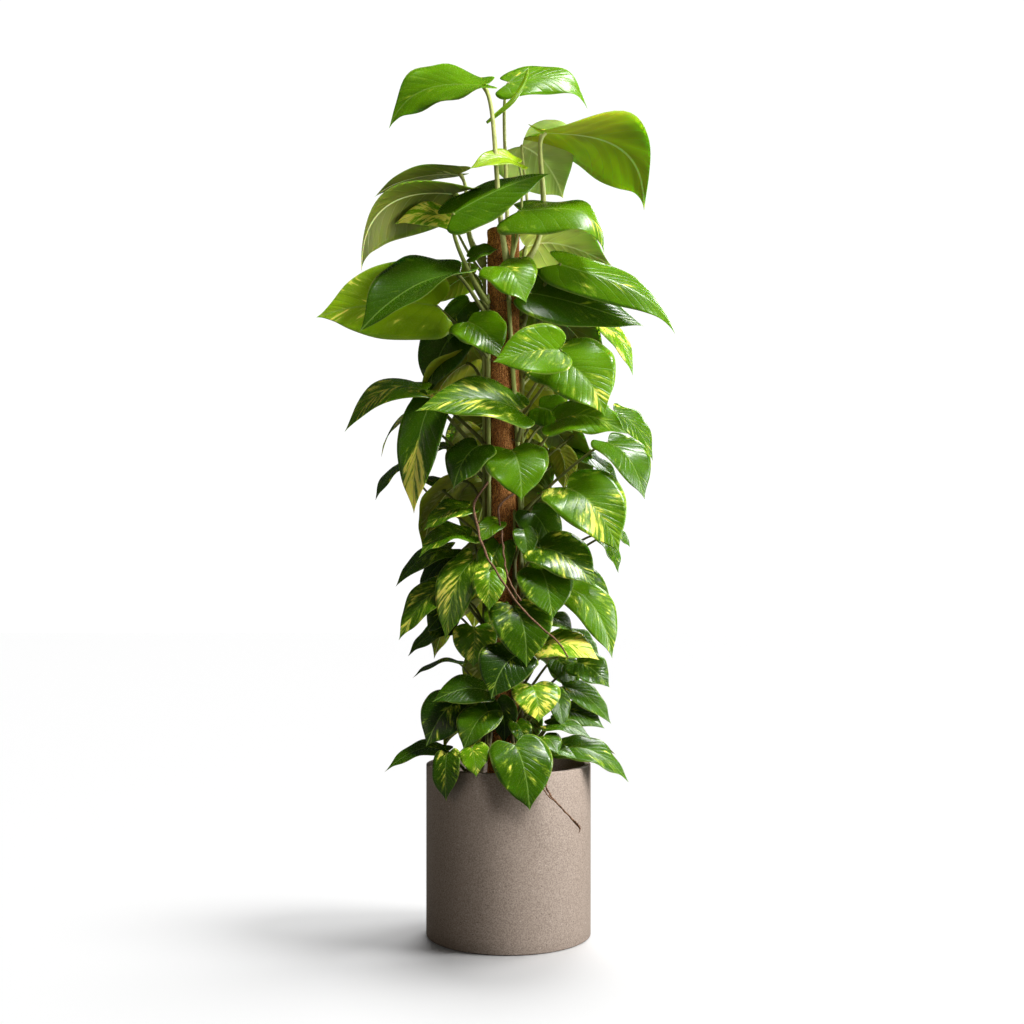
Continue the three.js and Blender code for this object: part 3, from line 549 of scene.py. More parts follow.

# The leafy stems: eight climbing stems of golden pothos, planted round the pole and grown up it.
# Each leaf has a long bent stalk and a waxy heart-shaped blade with a drip tip, deep green with
# yellow and cream streaks that follow its side veins. Young stems are green, old ones brown.
#
# A leaf's row holds the base of the blade and its tip, each as x and z where it appears on the
# picture plane and y as its true depth, the blade's width, the azimuth and elevation that its upper
# face looks to, the arch of the rib and the fold of the halves, then the tone, 0 dark to 1 bright,
# and the share of yellow streaks. The tone is partly the leaf's own green and partly painted light and
# shade: a leaf that stands in shade was given a darker tone, a lit or backlit one a brighter tone.
# Three more numbers may follow: how late the rib bends, from 0 near its base to 1 near its tip, the
# share of streaks towards the tip, and the turn of the blade round its rib from base to tip, in radians.
STEMS = [
    dict(name="vine_front", planted=74, climbs=66, ends=14, top=1175, leaves=[
        (-45, 1481, -39, -211, 1410, -10, 116, -38, 45, 0.18, 0.14, 0.5, 0.02, 0.78, 0.05, -1.02),
        (17, 1346, -45, -69, 1337, -80, 46, -5, 28, 0.12, 0.1, 0.92, 0.12),
        (21, 1262, -56, 169, 1190, -82, 116, 18, 27, 0.23, -0.15, 0.42, 0.2, 0.98, 0.5, -0.17),
        (-15, 1165, -62, 32, 1102, -95, 92, 5, 25, 0.14, 0.05, 0.5, 0.15),
        (18, 912, -52, -163, 917, -95, 105, -5, 36, 0.1, 0.1, 0.3, 0.45),
        (6, 843, -48, 24, 756, -85, 110, 0, 25, 0.1, 0.05, 0.45, 0.12),
    ]),
    dict(name="vine_left_front", planted=-40, climbs=-48, ends=-52, top=1110, leaves=[
        (-95, 1258, -70, 72, 1331, -58, 84, 60, 32, 0.03, -0.3, 0.34, 0.12, 0.5, 0.0, -0.2),
        (-90, 1150, -50, -264, 1053, -100, 137, -24, 53, 0.08, 0.39, 0.12, 0.02, 0.03, 0.08, -0.43),
        (-67, 1180, -34, -18, 1195, -44, 42, 0, 45, 0.08, 0.2, 0.3, 0.1),
        (-71, 1067, -48, -15, 1004, -75, 88, 0, 30, 0.08, 0.1, 0.45, 0.15),
        (-53, 850, -45, -99, 777, -75, 78, -15, 25, 0.1, 0.1, 0.12, 0.0),
        (-18, 717, -50, -53, 681, -72, 38, 0, 35, 0.08, 0.15, 0.5, 0.2),
        (-62, 651, -48, -112, 511, -78, 80, -18, 25, 0.1, 0.1, 0.4, 0.45),
        (-32, 630, -82, -34, 562, -102, 56, 0, 25, 0.08, 0.12, 0.55, 0.4),
        (-16, 677, -44, -30, 581, -56, 62, -5, 22, 0.1, 0.1, 0.45, 0.2),
        (-60, 532, -54, -62, 464, -72, 76, -5, 22, 0.1, 0.08, 0.5, 0.5),
        (-14, 572, -44, -28, 514, -52, 40, -10, 25, 0.08, 0.2, 0.6, 0.5),
        (-41, 423, -60, -134, 406, -85, 75, -10, 50, 0.1, 0.1, 0.2, 0.05),
        (-36, 385, -82, -80, 318, -114, 72, -10, 35, 0.1, 0.1, 0.35, 0.25),
        (-64, 322, -118, -56, 272, -152, 50, -22, 35, 0.1, 0.05, 0.6, 0.45),
        (-108, 310, -100, -109, 229, -125, 62, -42, 20, 0.12, 0.05, 0.3, 0.35),
        (-20, 404, -58, -6, 330, -76, 50, -8, 22, 0.1, 0.1, 0.2, 0.15),
    ]),
    dict(name="vine_right_front", planted=26, climbs=36, ends=36, top=735, leaves=[
        (55, 672, -60, 155, 607, -96, 95, 10, 35, 0.1, 0.1, 0.3, 0.35),
        (11, 569, -70, 32, 464, -105, 102, 0, 22, 0.1, 0.08, 0.28, 0.35),
        (17, 485, -84, -32, 409, -118, 92, -5, 25, 0.1, 0.08, 0.1, 0.05),
        (11, 327, -135, 39, 213, -168, 98, 9, 16, 0.1, 0.05, 0.34, 0.2),
        (57, 633, -65, 78, 548, -102, 95, 5, 25, 0.1, 0.08, 0.4, 0.25),
        (26, 703, -52, 34, 651, -66, 42, 5, 30, 0.1, 0.15, 0.4, 0.1),
        (40, 735, -38, 78, 655, -44, 75, 10, 20, 0.1, 0.1, 0.3, 0.1),
        (69, 550, -50, 113, 528, -70, 50, 10, 50, 0.1, 0.1, 0.5, 0.25),
        (41, 430, -85, 53, 367, -115, 80, 5, 28, 0.1, 0.08, 0.6, 0.55),
        (78, 420, -70, 96, 356, -86, 46, 20, 35, 0.1, 0.1, 0.3, 0.2),
        (69, 362, -82, 148, 338, -104, 50, 10, 60, 0.1, 0.1, 0.3, 0.1),
        (62, 342, -104, 88, 312, -132, 46, 10, 50, 0.1, 0.1, 0.35, 0.2),
        (74, 318, -96, 120, 304, -112, 40, 10, 70, 0.1, 0.1, 0.4, 0.2),
        (14, 366, -82, 30, 322, -98, 38, 10, 35, 0.1, 0.12, 0.42, 0.3),
    ]),
    dict(name="vine_left", planted=-92, climbs=-88, ends=-84, top=1190, leaves=[
        (-86, 1327, 6, -236, 1290, -25, 50, 249, 84, 0.07, 0.25, 0.1, 0.45, 0.6, 0.05, 0.8),
        (-96, 1292, -9, -261, 1160, -78, 138, 219, 83, 0.23, -0.39, 0.08, 0.0, 0.62, 0.0, 0.79),
        (-99, 1242, -28, -200, 1242, -50, 52, 0, 20, 0.14, 0.1, 0.6, 0.85),
        (-127, 1095, -15, -337, 1083, -25, 150, -5, 12, 0.06, 0.1, 0.84, 0.1, 0.0, 0.5),
        (-146, 948, 0, -290, 880, -30, 98, -10, 52, 0.18, 0.1, 0.45, 0.55),
        (-137, 924, -30, -171, 733, -50, 78, -5, 16, 0.06, 0.15, 0.18, 0.02, 0.0, 1.0),
        (-178, 905, 15, -225, 831, 5, 70, -80, 30, 0.1, 0.1, 0.3, 0.1),
        (-71, 742, -30, -150, 703, -50, 75, -15, 55, 0.12, 0.12, 0.42, 0.4),
        (-68, 693, -34, -158, 656, -58, 78, -15, 55, 0.18, 0.1, 0.42, 0.3),
        (-106, 607, -25, -193, 511, -45, 82, -20, 45, 0.1, 0.15, 0.35, 0.5),
        (-87, 472, -10, -169, 446, -20, 60, 0, 88, 0.12, 0.1, 0.3, 0.05),
        (-83, 406, -50, -146, 326, -80, 92, -20, 22, 0.12, 0.08, 0.1, 0.3),
        (-109, 316, -35, -218, 283, -50, 48, 0, 66, 0.14, 0.15, 0.2, 0.05),
    ]),
    dict(name="vine_right", planted=116, climbs=100, ends=90, top=1180, leaves=[
        (65, 1399, -6, 240, 1266, 25, 204, 80, 42, 0.26, -0.03, 0.65, 0.0, 0.83, 0.0, -1.08),
        (92, 1168, -52, 294, 1050, -66, 88, 50, -10, 0.1, -0.25, 0.42, 0.1, 1.0, 0.15, -0.26),
        (40, 1118, -28, 237, 1062, -12, 112, 0, 26, 0.02, 0.1, 0.15, 0.05),
        (41, 1027, -34, 85, 1060, -40, 45, 0, 50, 0.1, 0.1, 0.3, 0.0),
        (90, 1019, -86, -28, 1001, -108, 92, -5, 8, 0.05, 0.1, 0.45, 0.42, 0.0, 0.05),
        (76, 1004, -42, 170, 903, -92, 132, 5, 12, 0.1, 0.1, 0.45, 0.1, 0.3, 0.5),
        (54, 918, -14, 113, 875, -22, 70, 0, 25, 0.1, 0.15, 0.35, 0.1),
        (85, 894, -45, 209, 873, -95, 95, 10, 32, 0.12, 0.1, 0.42, 0.15),
        (174, 856, -15, 241, 759, -45, 86, 22, 30, 0.12, 0.1, 0.35, 0.15),
        (102, 777, -50, 197, 667, -95, 122, 12, 20, 0.1, 0.08, 0.45, 0.42, 0.0, 0.65),
        (64, 647, -4, 188, 527, -22, 88, 20, 45, 0.1, 0.12, 0.35, 0.25),
        (111, 600, -58, 185, 481, -72, 78, 15, 40, 0.1, 0.1, 0.55, 0.35),
        (64, 502, -60, 160, 479, -95, 75, 5, 45, 0.1, 0.1, 0.65, 0.85),
        (120, 471, -30, 178, 430, -55, 70, 15, 40, 0.1, 0.1, 0.3, 0.2),
        (86, 476, -8, 114, 428, -12, 56, 15, 25, 0.1, 0.1, 0.3, 0.2),
        (97, 429, -30, 181, 366, -50, 62, 15, 55, 0.1, 0.1, 0.35, 0.15),
        (90, 385, -35, 169, 359, -60, 60, 10, 50, 0.1, 0.1, 0.35, 0.1),
        (94, 320, -50, 213, 266, -62, 75, 10, 62, 0.14, 0.12, 0.35, 0.2),
        (116, 330, 12, 188, 313, 24, 50, 180, 70, 0.1, 0.1, 0.4, 0.1),
    ]),
    dict(name="vine_left_back", planted=-140, climbs=-134, ends=-130, top=1150, leaves=[
        (-76, 1066, 46, -144, 943, 30, 108, -20, 14, 0.08, 0.1, 0.08, 0.02),
        (-67, 1101, 30, -108, 1032, 22, 70, -25, 25, 0.1, 0.1, 0.3, 0.1),
        (-60, 1150, 40, -135, 1100, 55, 70, -160, 50, 0.1, 0.1, 0.35, 0.1),
        (-190, 815, 40, -234, 756, 40, 60, -60, 40, 0.1, 0.1, 0.3, 0.2),
        (-150, 794, 62, -108, 772, 44, 50, 0, 70, 0.1, 0.1, 0.3, 0.1),
        (-102, 850, 30, -140, 838, 20, 45, -10, 60, 0.1, 0.1, 0.3, 0.1),
        (-102, 670, 20, -200, 607, 10, 70, -10, 62, 0.12, 0.1, 0.3, 0.25),
        (-102, 656, 50, -157, 593, 45, 65, -20, 50, 0.1, 0.1, 0.2, 0.1),
        (-100, 560, 30, -143, 525, 20, 60, -20, 40, 0.1, 0.1, 0.2, 0.1),
        (-94, 532, 50, -178, 485, 50, 62, -10, 65, 0.1, 0.1, 0.3, 0.15),
    ], behind=(8, 375, 1110, -140, 39)),
    dict(name="vine_right_back", planted=150, climbs=138, ends=132, top=1170, leaves=[
        (24, 1375, 50, 97, 1286, 100, 140, 180, 22, 0.08, 0.08, 0.84, 0.0),
        (31, 1199, 35, 181, 1172, 70, 135, 175, 48, 0.12, 0.05, 0.72, 0.05),
        (165, 1062, 60, 220, 975, 80, 46, 25, 25, 0.1, 0.15, 0.5, 0.6),
        (186, 910, 30, 255, 826, 20, 65, 30, 32, 0.1, 0.1, 0.3, 0.3),
        (90, 842, 22, 99, 773, 28, 48, 175, 25, 0.1, 0.1, 0.4, 0.1),
        (111, 840, 54, 199, 779, 46, 62, 10, 60, 0.1, 0.1, 0.3, 0.1),
        (157, 695, 20, 193, 628, 10, 50, 40, 50, 0.1, 0.1, 0.4, 0.2),
        (185, 700, 30, 213, 674, 30, 30, 30, 50, 0.1, 0.1, 0.4, 0.2),
        (67, 765, 36, 143, 695, 28, 60, 20, 65, 0.1, 0.1, 0.3, 0.15),
        (104, 515, 15, 160, 485, 10, 60, 20, 45, 0.1, 0.1, 0.3, 0.15),
    ], behind=(8, 395, 1085, 141, 8)),
    dict(name="vine_back", planted=188, climbs=180, ends=178, top=1195, leaves=[
        (2, 1486, 8, 140, 1442, 22, 80, 0, 28, 0.21, -0.03, 0.55, 0.12, 0.9, 0.12, -0.04),
    ], behind=(12, 350, 1150, 180, 38)),
]
# The leaves on the far side follow a rule. A stem's row behind gives their number, the heights of the
# first and the last, the azimuth that they spread round and a seed. The rule holds angles in degrees,
# and reaches and lengths in millimetres at the foot and at the top.
BEHIND = dict(
    side=17, side_spread=8, turn=10, height_spread=12, base_reach=(62, 105), tip_reach=(128, 205),
    length=(98, 185), width_share=0.72, spread=0.16, elevation=38, arch=0.11, fold=0.1, seed_step=7919,
)
DRAW_FACTOR = 16807
DRAW_RANGE = 2147483647
# The stem that a root grows from, its radii at the start and end, and points on it as x, z and depth.
AERIAL_ROOTS = [
    ("vine_left_front", (2.3, 1.4), [
        (-62, 790, -26), (-60, 750, -52), (-55, 715, -72), (-48, 684, -92), (-34, 651, -108),
        (-13, 618, -112), (13, 579, -112), (43, 546, -114), (69, 523, -112), (88, 506, -108),
        (104, 481, -104),
    ]),
    ("vine_right_front", (1.9, 1.3), [
        (34, 300, -68), (50, 306, -100), (57, 290, -138), (64, 261, -152), (73, 240, -158), (90, 220, -160),
        (108, 201, -161), (126, 180, -160),
    ]),
    ("vine_right_front", (1.5, 1.0), [
        (24, 292, -76), (40, 308, -106), (52, 296, -142), (57, 268, -154), (62, 250, -160), (70, 238, -161),
        (78, 231, -160),
    ]),
    ("vine_right_front", (1.1, 0.6), [
        (108, 201, -161), (121, 189, -162), (125, 182, -163), (123, 173, -164),
    ]),
    ("vine_front", (2.0, 1.3), [
        (-14, 775, -36), (-16, 745, -47), (-12, 700, -60), (-8, 660, -68), (-2, 625, -80), (9, 600, -96),
        (22, 580, -110),
    ]),
]
FURLED_LEAF = [
    (-38, 1416, -30), (-15, 1435, -30), (6, 1454, -28), (22, 1477, -26), (32, 1500, -24), (35, 1513, -22),
]
UP = np.array([0.0, 0.0, 1.0])
STEM_RADIUS = 4.2
STEM_END_RADIUS = 3.0
STEM_FOOT = SOIL_TOP - 12
STEM_SIDES = 14
STEM_STEP = 5
PLANTED_REACH = 64
NODE_SPACING = 9
STALK_RADIUS = 3.9
STALK_END_RADIUS = 2.6
STALK_SIDES = 10
STALK_STEPS = 22
STALK_BEND = 36
LARGE_LEAVES = (1130, 1380)
SHORT_ROOTS = 2
SHORT_ROOTS_FROM = SOIL_TOP + 90
SHORT_ROOT_RADII = (0.9, 0.35)
SHORT_ROOT_STEPS = 7
ROOT_STEPS = 90
FURLED_STEPS = 60
FURLED_SIDES = 24


def mix(a, b, share):
    """a + (b - a) * share."""
    return a + (b - a) * share


def smooth(x, low, high):
    """How far x lies from low to high, from 0 to 1, eased as 3s^2 - 2s^3."""
    share = np.clip((x - low) / (high - low), 0, 1)
    return share * share * (3 - 2 * share)


def unit(vectors):
    """Vectors of length 1."""
    return vectors / np.maximum(np.linalg.norm(vectors, axis=-1, keepdims=True), 1e-9)


def heading(azimuth, elevation):
    """A unit vector that looks to an azimuth, 0 to the viewer and 90 to the right, and an elevation."""
    a, e = np.radians(azimuth), np.radians(elevation)
    return np.stack([np.sin(a) * np.cos(e), -np.cos(a) * np.cos(e), np.sin(e) + 0 * a], -1)


def across(vector, along):
    """The part of a vector across another, as a unit vector."""
    return unit(vector - np.sum(vector * along, -1, keepdims=True) * along)


def seen(x, z, y):
    """The point at depth y that the viewer sees at x and z on the picture plane."""
    return VIEW_POINT + (np.array([x, 0, z]) - VIEW_POINT) * (y - VIEW_POINT[1]) / -VIEW_POINT[1]


def spline(values, at):
    """A smooth curve through evenly spaced values, read at places from 0 to 1: between two values, the cubic
    whose slope at each one is half the step from the value before it to the value after it."""
    values = np.asarray(values, float)
    x = np.asarray(at) * (len(values) - 1)
    i = np.clip(np.floor(x).astype(int), 0, len(values) - 2)
    f = (x - i).reshape(x.shape + (1,) * (values.ndim - 1))
    a, b, c, d = (values[np.clip(i + k, 0, len(values) - 1)] for k in (-1, 0, 1, 2))
    return b + 0.5 * f * (c - a + f * (2 * a - 5 * b + 4 * c - d + f * (3 * (b - c) + d - a)))


# One half of a blade's outline from the notch to the tip: distance along the rib, distance out from
# it, and the place on the rib that a row of points runs to, as shares of length and width.
OUTLINE = np.array([
    (0.0, 0.012, 0.0), (-0.068, 0.09, 0.003), (-0.13, 0.255, 0.012), (-0.03, 0.435, 0.07), (0.2, 0.51, 0.22),
    (0.47, 0.455, 0.47), (0.71, 0.295, 0.71), (0.86, 0.12, 0.86), (0.945, 0.033, 0.945), (1.0, 0.0, 1.0),
])
BLADE_ROWS = 46
BLADE_COLUMNS = 17
BLADE_THICKNESS = 0.8
RIB_WIDTH = 1.7
VEINS = 10.0
# A blade's usual dome, lean, twist and hook, how far each one varies, and how much of that is left to
# a blade with a turn of its own.
HABIT = np.array((-0.16, 0.0, 0.0, 0.03))
HABIT_SPREAD = (0.18, 0.5, 0.16, 0.02)
TURNED_PLAY = 0.35


def hump(x, width):
    """A rounded hump about 0: e to the power of -(x / width) squared."""
    return np.exp(-((x / width) ** 2))


def leaf_frame(base, tip, width, azimuth, elevation, arch, fold, late=0.0, twist=0.0):
    """A blade's own directions: along the rib, to its left, off its upper face, and up across the rib."""
    length = np.linalg.norm(tip - base)
    along = (tip - base) / length
    face = across(heading(azimuth, elevation), along)
    return dict(
        base=base, along=along, face=face, side=np.cross(face, along), above=across(UP, along), length=length,
        width=width, arch=arch, fold=fold, late=late, twist=twist, play=TURNED_PLAY if twist else 1.0,
    )


def blade_rings(leaf, draw):
    """The blade's skin as closed rings of points, one for each row: over the upper face from edge to edge
    and back under the lower one. With t from -1 to 1 across, a point lies r + (a - r)|t| along and o t out,
    and stands off the chord by the rib's arch, the fold of the halves, a dome that grows with the square of
    the distance out, and about two waves of the edge. Then the blade turns round its rib. Returns the rings,
    each point's vein place and distance out, and its nearness to the edge."""
    row = np.linspace(0, 1, BLADE_ROWS)
    a, o, r = spline(OUTLINE, row).T
    o = np.maximum(o, 0)
    # The columns crowd to the rib.
    t = np.linspace(-1, 1, BLADE_COLUMNS)
    t = np.sign(t) * np.abs(t) ** 1.35
    skew, bend = draw.uniform(-0.06, 0.06), draw.uniform(-0.04, 0.04)
    dome, lean, twist, hook = HABIT + draw.uniform(-1, 1, 4) * HABIT_SPREAD * leaf["play"]
    along = r[:, None] + (a - r)[:, None] * np.abs(t)
    out = o[:, None] * t * (1 + skew * np.sign(t))
    peak = mix(3 - 2 * along, 1 + 2 * along, leaf["late"])
    arch = np.where(along < 0, 2 * along, 2 * along * (1 - along) * peak)
    edge = np.abs(t) ** 3
    phase = draw.uniform(0, 2 * np.pi, 2)
    count = draw.uniform(1.4, 2.4)
    wave = np.sin(2 * np.pi * count * along + np.where(t < 0, phase[0], phase[1]))
    size = np.abs(out)
    rise = leaf["fold"] * size * (1 + lean * np.sign(t)) + dome * size**2
    rise = rise + leaf["wave"] * edge * wave * smooth(1 - along, 0, 0.25)
    turn = (twist + leaf["twist"]) * np.clip(along, 0, 1)
    out, rise = out * np.cos(turn) - rise * np.sin(turn), out * np.sin(turn) + rise * np.cos(turn)
    sideways = out + bend * 4 * along * (1 - along) * (along > 0)
    above = (leaf["arch"] * arch - hook * smooth(along, 0.6, 1.1) ** 2) * leaf["length"]
    middle = (
        leaf["base"] + along[..., None] * leaf["length"] * leaf["along"]
        + sideways[..., None] * leaf["width"] * leaf["side"] + rise[..., None] * leaf["width"] * leaf["face"]
        + above[..., None] * leaf["above"]
    )
    normal = unit(np.cross(np.gradient(middle, axis=1), np.gradient(middle, axis=0)))
    normal *= np.sign(np.sum(normal * leaf["face"], -1, keepdims=True) + 1e-6)
    thin = 0.5 * BLADE_THICKNESS * (1 - 0.6 * edge) * smooth(1.02 - along, 0, 0.12)
    rib = hump(size * leaf["width"], RIB_WIDTH) * (1.1 - along) * (along > -0.01)
    upper = middle + normal * (thin - 0.35 * rib)[..., None]
    lower = middle - normal * (thin + 1.0 * rib)[..., None]
    vein = (along - 0.5 * size) / (1 + 1.6 * size)
    pattern = np.stack([vein, size * np.sign(t) + 0.5], -1)
    margin = np.broadcast_to(np.abs(t), size.shape)
    sheets = ((upper, lower), (pattern, pattern), (margin, margin))
    return [np.concatenate([over, under[:, ::-1]], 1) for over, under in sheets]


def tube(route, radii, sides, side_way):
    """A tube round a route: each ring lies across the route, and its last point keeps to side_way."""
    along = unit(np.gradient(route, axis=0))
    left = across(np.broadcast_to(side_way, route.shape), along)
    over = np.cross(along, left)
    angle = np.arange(sides)[::-1] * 2 * np.pi / sides
    ring = np.cos(angle)[None, :, None] * left[:, None] + np.sin(angle)[None, :, None] * over[:, None]
    return route[:, None] + ring * np.asarray(radii)[:, None, None]


def furled(route, thick):
    """A young leaf rolled into a spindle round a route. Its outline across the route is a spiral step: the
    radius falls evenly from 1 to 0.78 once round, and the step runs slowly round the spindle."""
    along = unit(np.gradient(route, axis=0))
    left = across(np.broadcast_to(UP, route.shape), along)
    over = np.cross(along, left)
    share = np.arange(FURLED_SIDES)[::-1] / FURLED_SIDES
    reach = np.where(share > 0.96, 0.9, 1 - 0.22 * share)
    angle = 2 * np.pi * share[None] + np.linspace(0.4, 2.2, len(route))[:, None]
    ring = np.cos(angle)[..., None] * left[:, None] + np.sin(angle)[..., None] * over[:, None]
    return route[:, None] + ring * (thick[:, None] * reach)[..., None]


def stem_axis(stem, z):
    """Points on a stem's axis at heights z: planted away from the pole, it leans in to it and climbs it."""
    z = np.asarray(z, float)
    azimuth = mix(stem["planted"], stem["climbs"], smooth(z, SOIL_TOP, SOIL_TOP + 255))
    azimuth = mix(azimuth, stem["ends"], smooth(z, 0.55 * stem["top"], stem["top"]))
    on_pole = POLE_RADIUS + FIT_GAP + STEM_RADIUS
    out = mix(PLANTED_REACH, on_pole, smooth(z, SOIL_TOP + 6, SOIL_TOP + 85))
    flat = heading(azimuth, 0) * out[..., None]
    return flat * (1, 1, 0) + np.stack([POLE_X + 0 * z, 0 * z, z], -1)


def stalk_route(leaf, root, steps):
    """A leaf stalk's route, a cubic curve from the stem up and out, and round into the blade's base: with s
    from 0 to 1, (1-s)^3 root + 3s(1-s)^2 first + 3s^2(1-s) second + s^3 base."""
    chord = np.linalg.norm(leaf["base"] - root)
    from_pole = unit((root - (POLE_X, 0, 0)) * (1, 1, 0))
    outward = unit((leaf["base"] - root) * (1, 1, 0))
    first = root + (0.7 * UP + 0.4 * from_pole + 0.3 * outward) * 0.45 * chord
    upper = leaf["face"] * (1 if leaf["face"][2] > 0 else -1)
    second = leaf["base"] - unit(0.6 * leaf["along"] + upper) * min(0.3 * chord, STALK_BEND)
    s = np.linspace(0, 1, steps)[:, None]
    start = (1 - s) ** 3 * root + 3 * s * (1 - s) ** 2 * first
    return start + 3 * s * s * (1 - s) * second + s**3 * leaf["base"]


def leaves_behind(stem):
    """The leaves on the far side of a stem: they alternate from side to side, and grow with height."""
    count, low, high, middle, seed = stem["behind"]
    state = seed * BEHIND["seed_step"]
    made = []

    def next_draw():
        """The next share from 0 to 1: the state times the factor, counted round in the range."""
        nonlocal state
        state = state * DRAW_FACTOR % DRAW_RANGE
        return state / DRAW_RANGE

    for i in range(count):
        share = i / (count - 1)
        size = 1 + BEHIND["spread"] * (2 * next_draw() - 1)
        way = 1 if i % 2 == 0 else -1
        azimuth = middle + way * (BEHIND["side"] + BEHIND["side_spread"] * (2 * next_draw() - 1))
        z = mix(low, high, share) + BEHIND["height_spread"] * (2 * next_draw() - 1)
        base_reach = mix(*BEHIND["base_reach"], share) * size
        tip_reach = mix(*BEHIND["tip_reach"], share) * size
        length = mix(*BEHIND["length"], share) * size
        drop = np.sqrt(max(0, length**2 - (tip_reach - base_reach) ** 2))
        turned_to = azimuth + way * BEHIND["turn"] * next_draw()
        base = heading(azimuth, 0) * base_reach + (POLE_X, 0, z)
        tip = heading(turned_to, 0) * tip_reach + (POLE_X, 0, z - drop)
        shape = (BEHIND["elevation"], BEHIND["arch"], BEHIND["fold"])
        made.append(leaf_frame(base, tip, length * BEHIND["width_share"], azimuth, *shape))
    return made


def roots_of(stem, leaves):
    """The height at which each leaf stalk leaves its stem, clear of the ones before it."""
    lowest = SOIL_TOP + 14
    highest = stem["top"] - 16
    taken = []
    for leaf in leaves:
        level = stem_axis(stem, min(stem["top"], leaf["base"][2]))
        wanted = leaf["base"][2] - 30 - 0.6 * np.hypot(*(leaf["base"] - level)[:2])
        step = NODE_SPACING if wanted < lowest else -NODE_SPACING
        z = max(lowest, min(highest, wanted))
        while any(abs(other - z) < NODE_SPACING for other in taken):
            z += step
        taken.append(z)
    return taken


def from_half(tree, value):
    """How far a value lies from the middle between the whole numbers on both sides of it, from 0 to 0.5."""
    return maths(tree, "ABSOLUTE", maths(tree, "SUBTRACT", maths(tree, "FRACT", value), 0.5))


def vein_group():
    """The pattern of a blade from its UV, (vein place, distance out): the midrib, the side veins, the yellow
    streaks, which are drawn out along the side veins and gather in patches, a paler halo round them, the
    swell between the veins and a broad mottle."""
    group = new_group(
        "Blade pattern", "Blade place", ["Seed", "Streak share"],
        ["Rib", "Veins", "Streaks", "Halo", "Swell", "Mottle"],
    )
    inside = node(group, "NodeGroupInput").outputs
    parts = node(group, "ShaderNodeSeparateXYZ", {0: inside["Blade place"]}).outputs
    vein, out = parts[0], maths(group, "SUBTRACT", parts[1], 0.5)
    gap = maths(group, "ABSOLUTE", out)
    rib = between(group, gap, 0.016, 0.006)
    wide = node(group, "ShaderNodeCombineXYZ", {0: vein, 1: out, 2: inside["Seed"]}).outputs[0]
    wobble = noise(group, wide, 3.0, 1.0)
    left_half = maths(group, "GREATER_THAN", out, 0.0)
    order = maths(group, "MULTIPLY", vein, VEINS)
    for value, share in ((wobble, 0.9), (inside["Seed"], 3.7), (left_half, 0.45)):
        order = maths(group, "ADD", order, maths(group, "MULTIPLY", value, share))
    place = from_half(group, order)
    line = between(group, place, 0.07, 0.0)
    swell = maths(group, "SINE", maths(group, "MULTIPLY", place, np.pi))
    swell = maths(group, "MULTIPLY", swell, between(group, wobble, 0.35, 0.7, 0.15, 1.0))
    fine = from_half(group, maths(group, "MULTIPLY", order, 3.0))
    line = maths(group, "MAXIMUM", line, maths(group, "MULTIPLY", between(group, fine, 0.1, 0.0), 0.3))
    drawn = node(group, "ShaderNodeCombineXYZ", {
        0: maths(group, "MULTIPLY", order, 1.3), 1: maths(group, "MULTIPLY", out, 4.2),
        2: maths(group, "MULTIPLY", inside["Seed"], 5.0),
    }).outputs[0]
    strokes = noise(group, drawn, 1.35, 3.0, 0.6)
    patches = noise(group, wide, 3.4, 1.0)
    strokes = maths(group, "MULTIPLY", strokes, 0.6)
    score = maths(group, "ADD", strokes, maths(group, "MULTIPLY", patches, 0.4))
    limit = maths(group, "SUBTRACT", 0.68, maths(group, "MULTIPLY", inside["Streak share"], 0.24))
    over = maths(group, "SUBTRACT", score, limit)
    node(group, "NodeGroupOutput", {
        "Rib": rib, "Veins": line, "Swell": swell, "Mottle": patches,
        "Streaks": between(group, over, 0.0, 0.05), "Halo": between(group, over, -0.09, 0.02),
    })
    return group


blade_pattern = vein_group()
MARKS = ("tone_and_light", "streak", "seed", "margin")


def blade_nodes(tree):
    """Places the blade pattern, fed by the blade's own UV and its marks. Returns its outputs, the tone, which
    is partly painted light and shade, and the thin edge, where a paler margin and painted light through it
    are laid."""
    mark = {key: node(tree, "ShaderNodeAttribute", attribute_name=key).outputs["Fac"] for key in MARKS}
    place = node(tree, "ShaderNodeUVMap", uv_map="pattern").outputs[0]
    made = node(tree, "ShaderNodeGroup", node_tree=blade_pattern)
    for key, value in (("Blade place", place), ("Seed", mark["seed"]), ("Streak share", mark["streak"])):
        tree.links.new(value, made.inputs[key])
    return made.outputs, mark["tone_and_light"], between(tree, mark["margin"], 0.93, 1.0)


def ramped(tree, value, stops):
    """The colour that a value has between stops, a dict of places from 0 to 1 and their colours."""
    made = node(tree, "ShaderNodeValToRGB", {0: value})
    elements = made.color_ramp.elements
    for place in list(stops)[1:-1]:
        elements.new(place)
    for element, colour in zip(elements, stops.values()):
        element.color = (*colour, 1)
    return made.outputs[0]


SAP_RADIUS = (0.5, 1.0, 0.12)
upper_face, tree, shader = finish(
    "blade_upper_face", 0.3, Specular_IOR_Level=0.24, Subsurface_Weight=0.5, Subsurface_Scale=0.0016,
    Subsurface_Radius=SAP_RADIUS, Coat_Weight=0.04, Coat_Roughness=0.12,
)
mask, tone_and_light, pale_edge_and_glow = blade_nodes(tree)
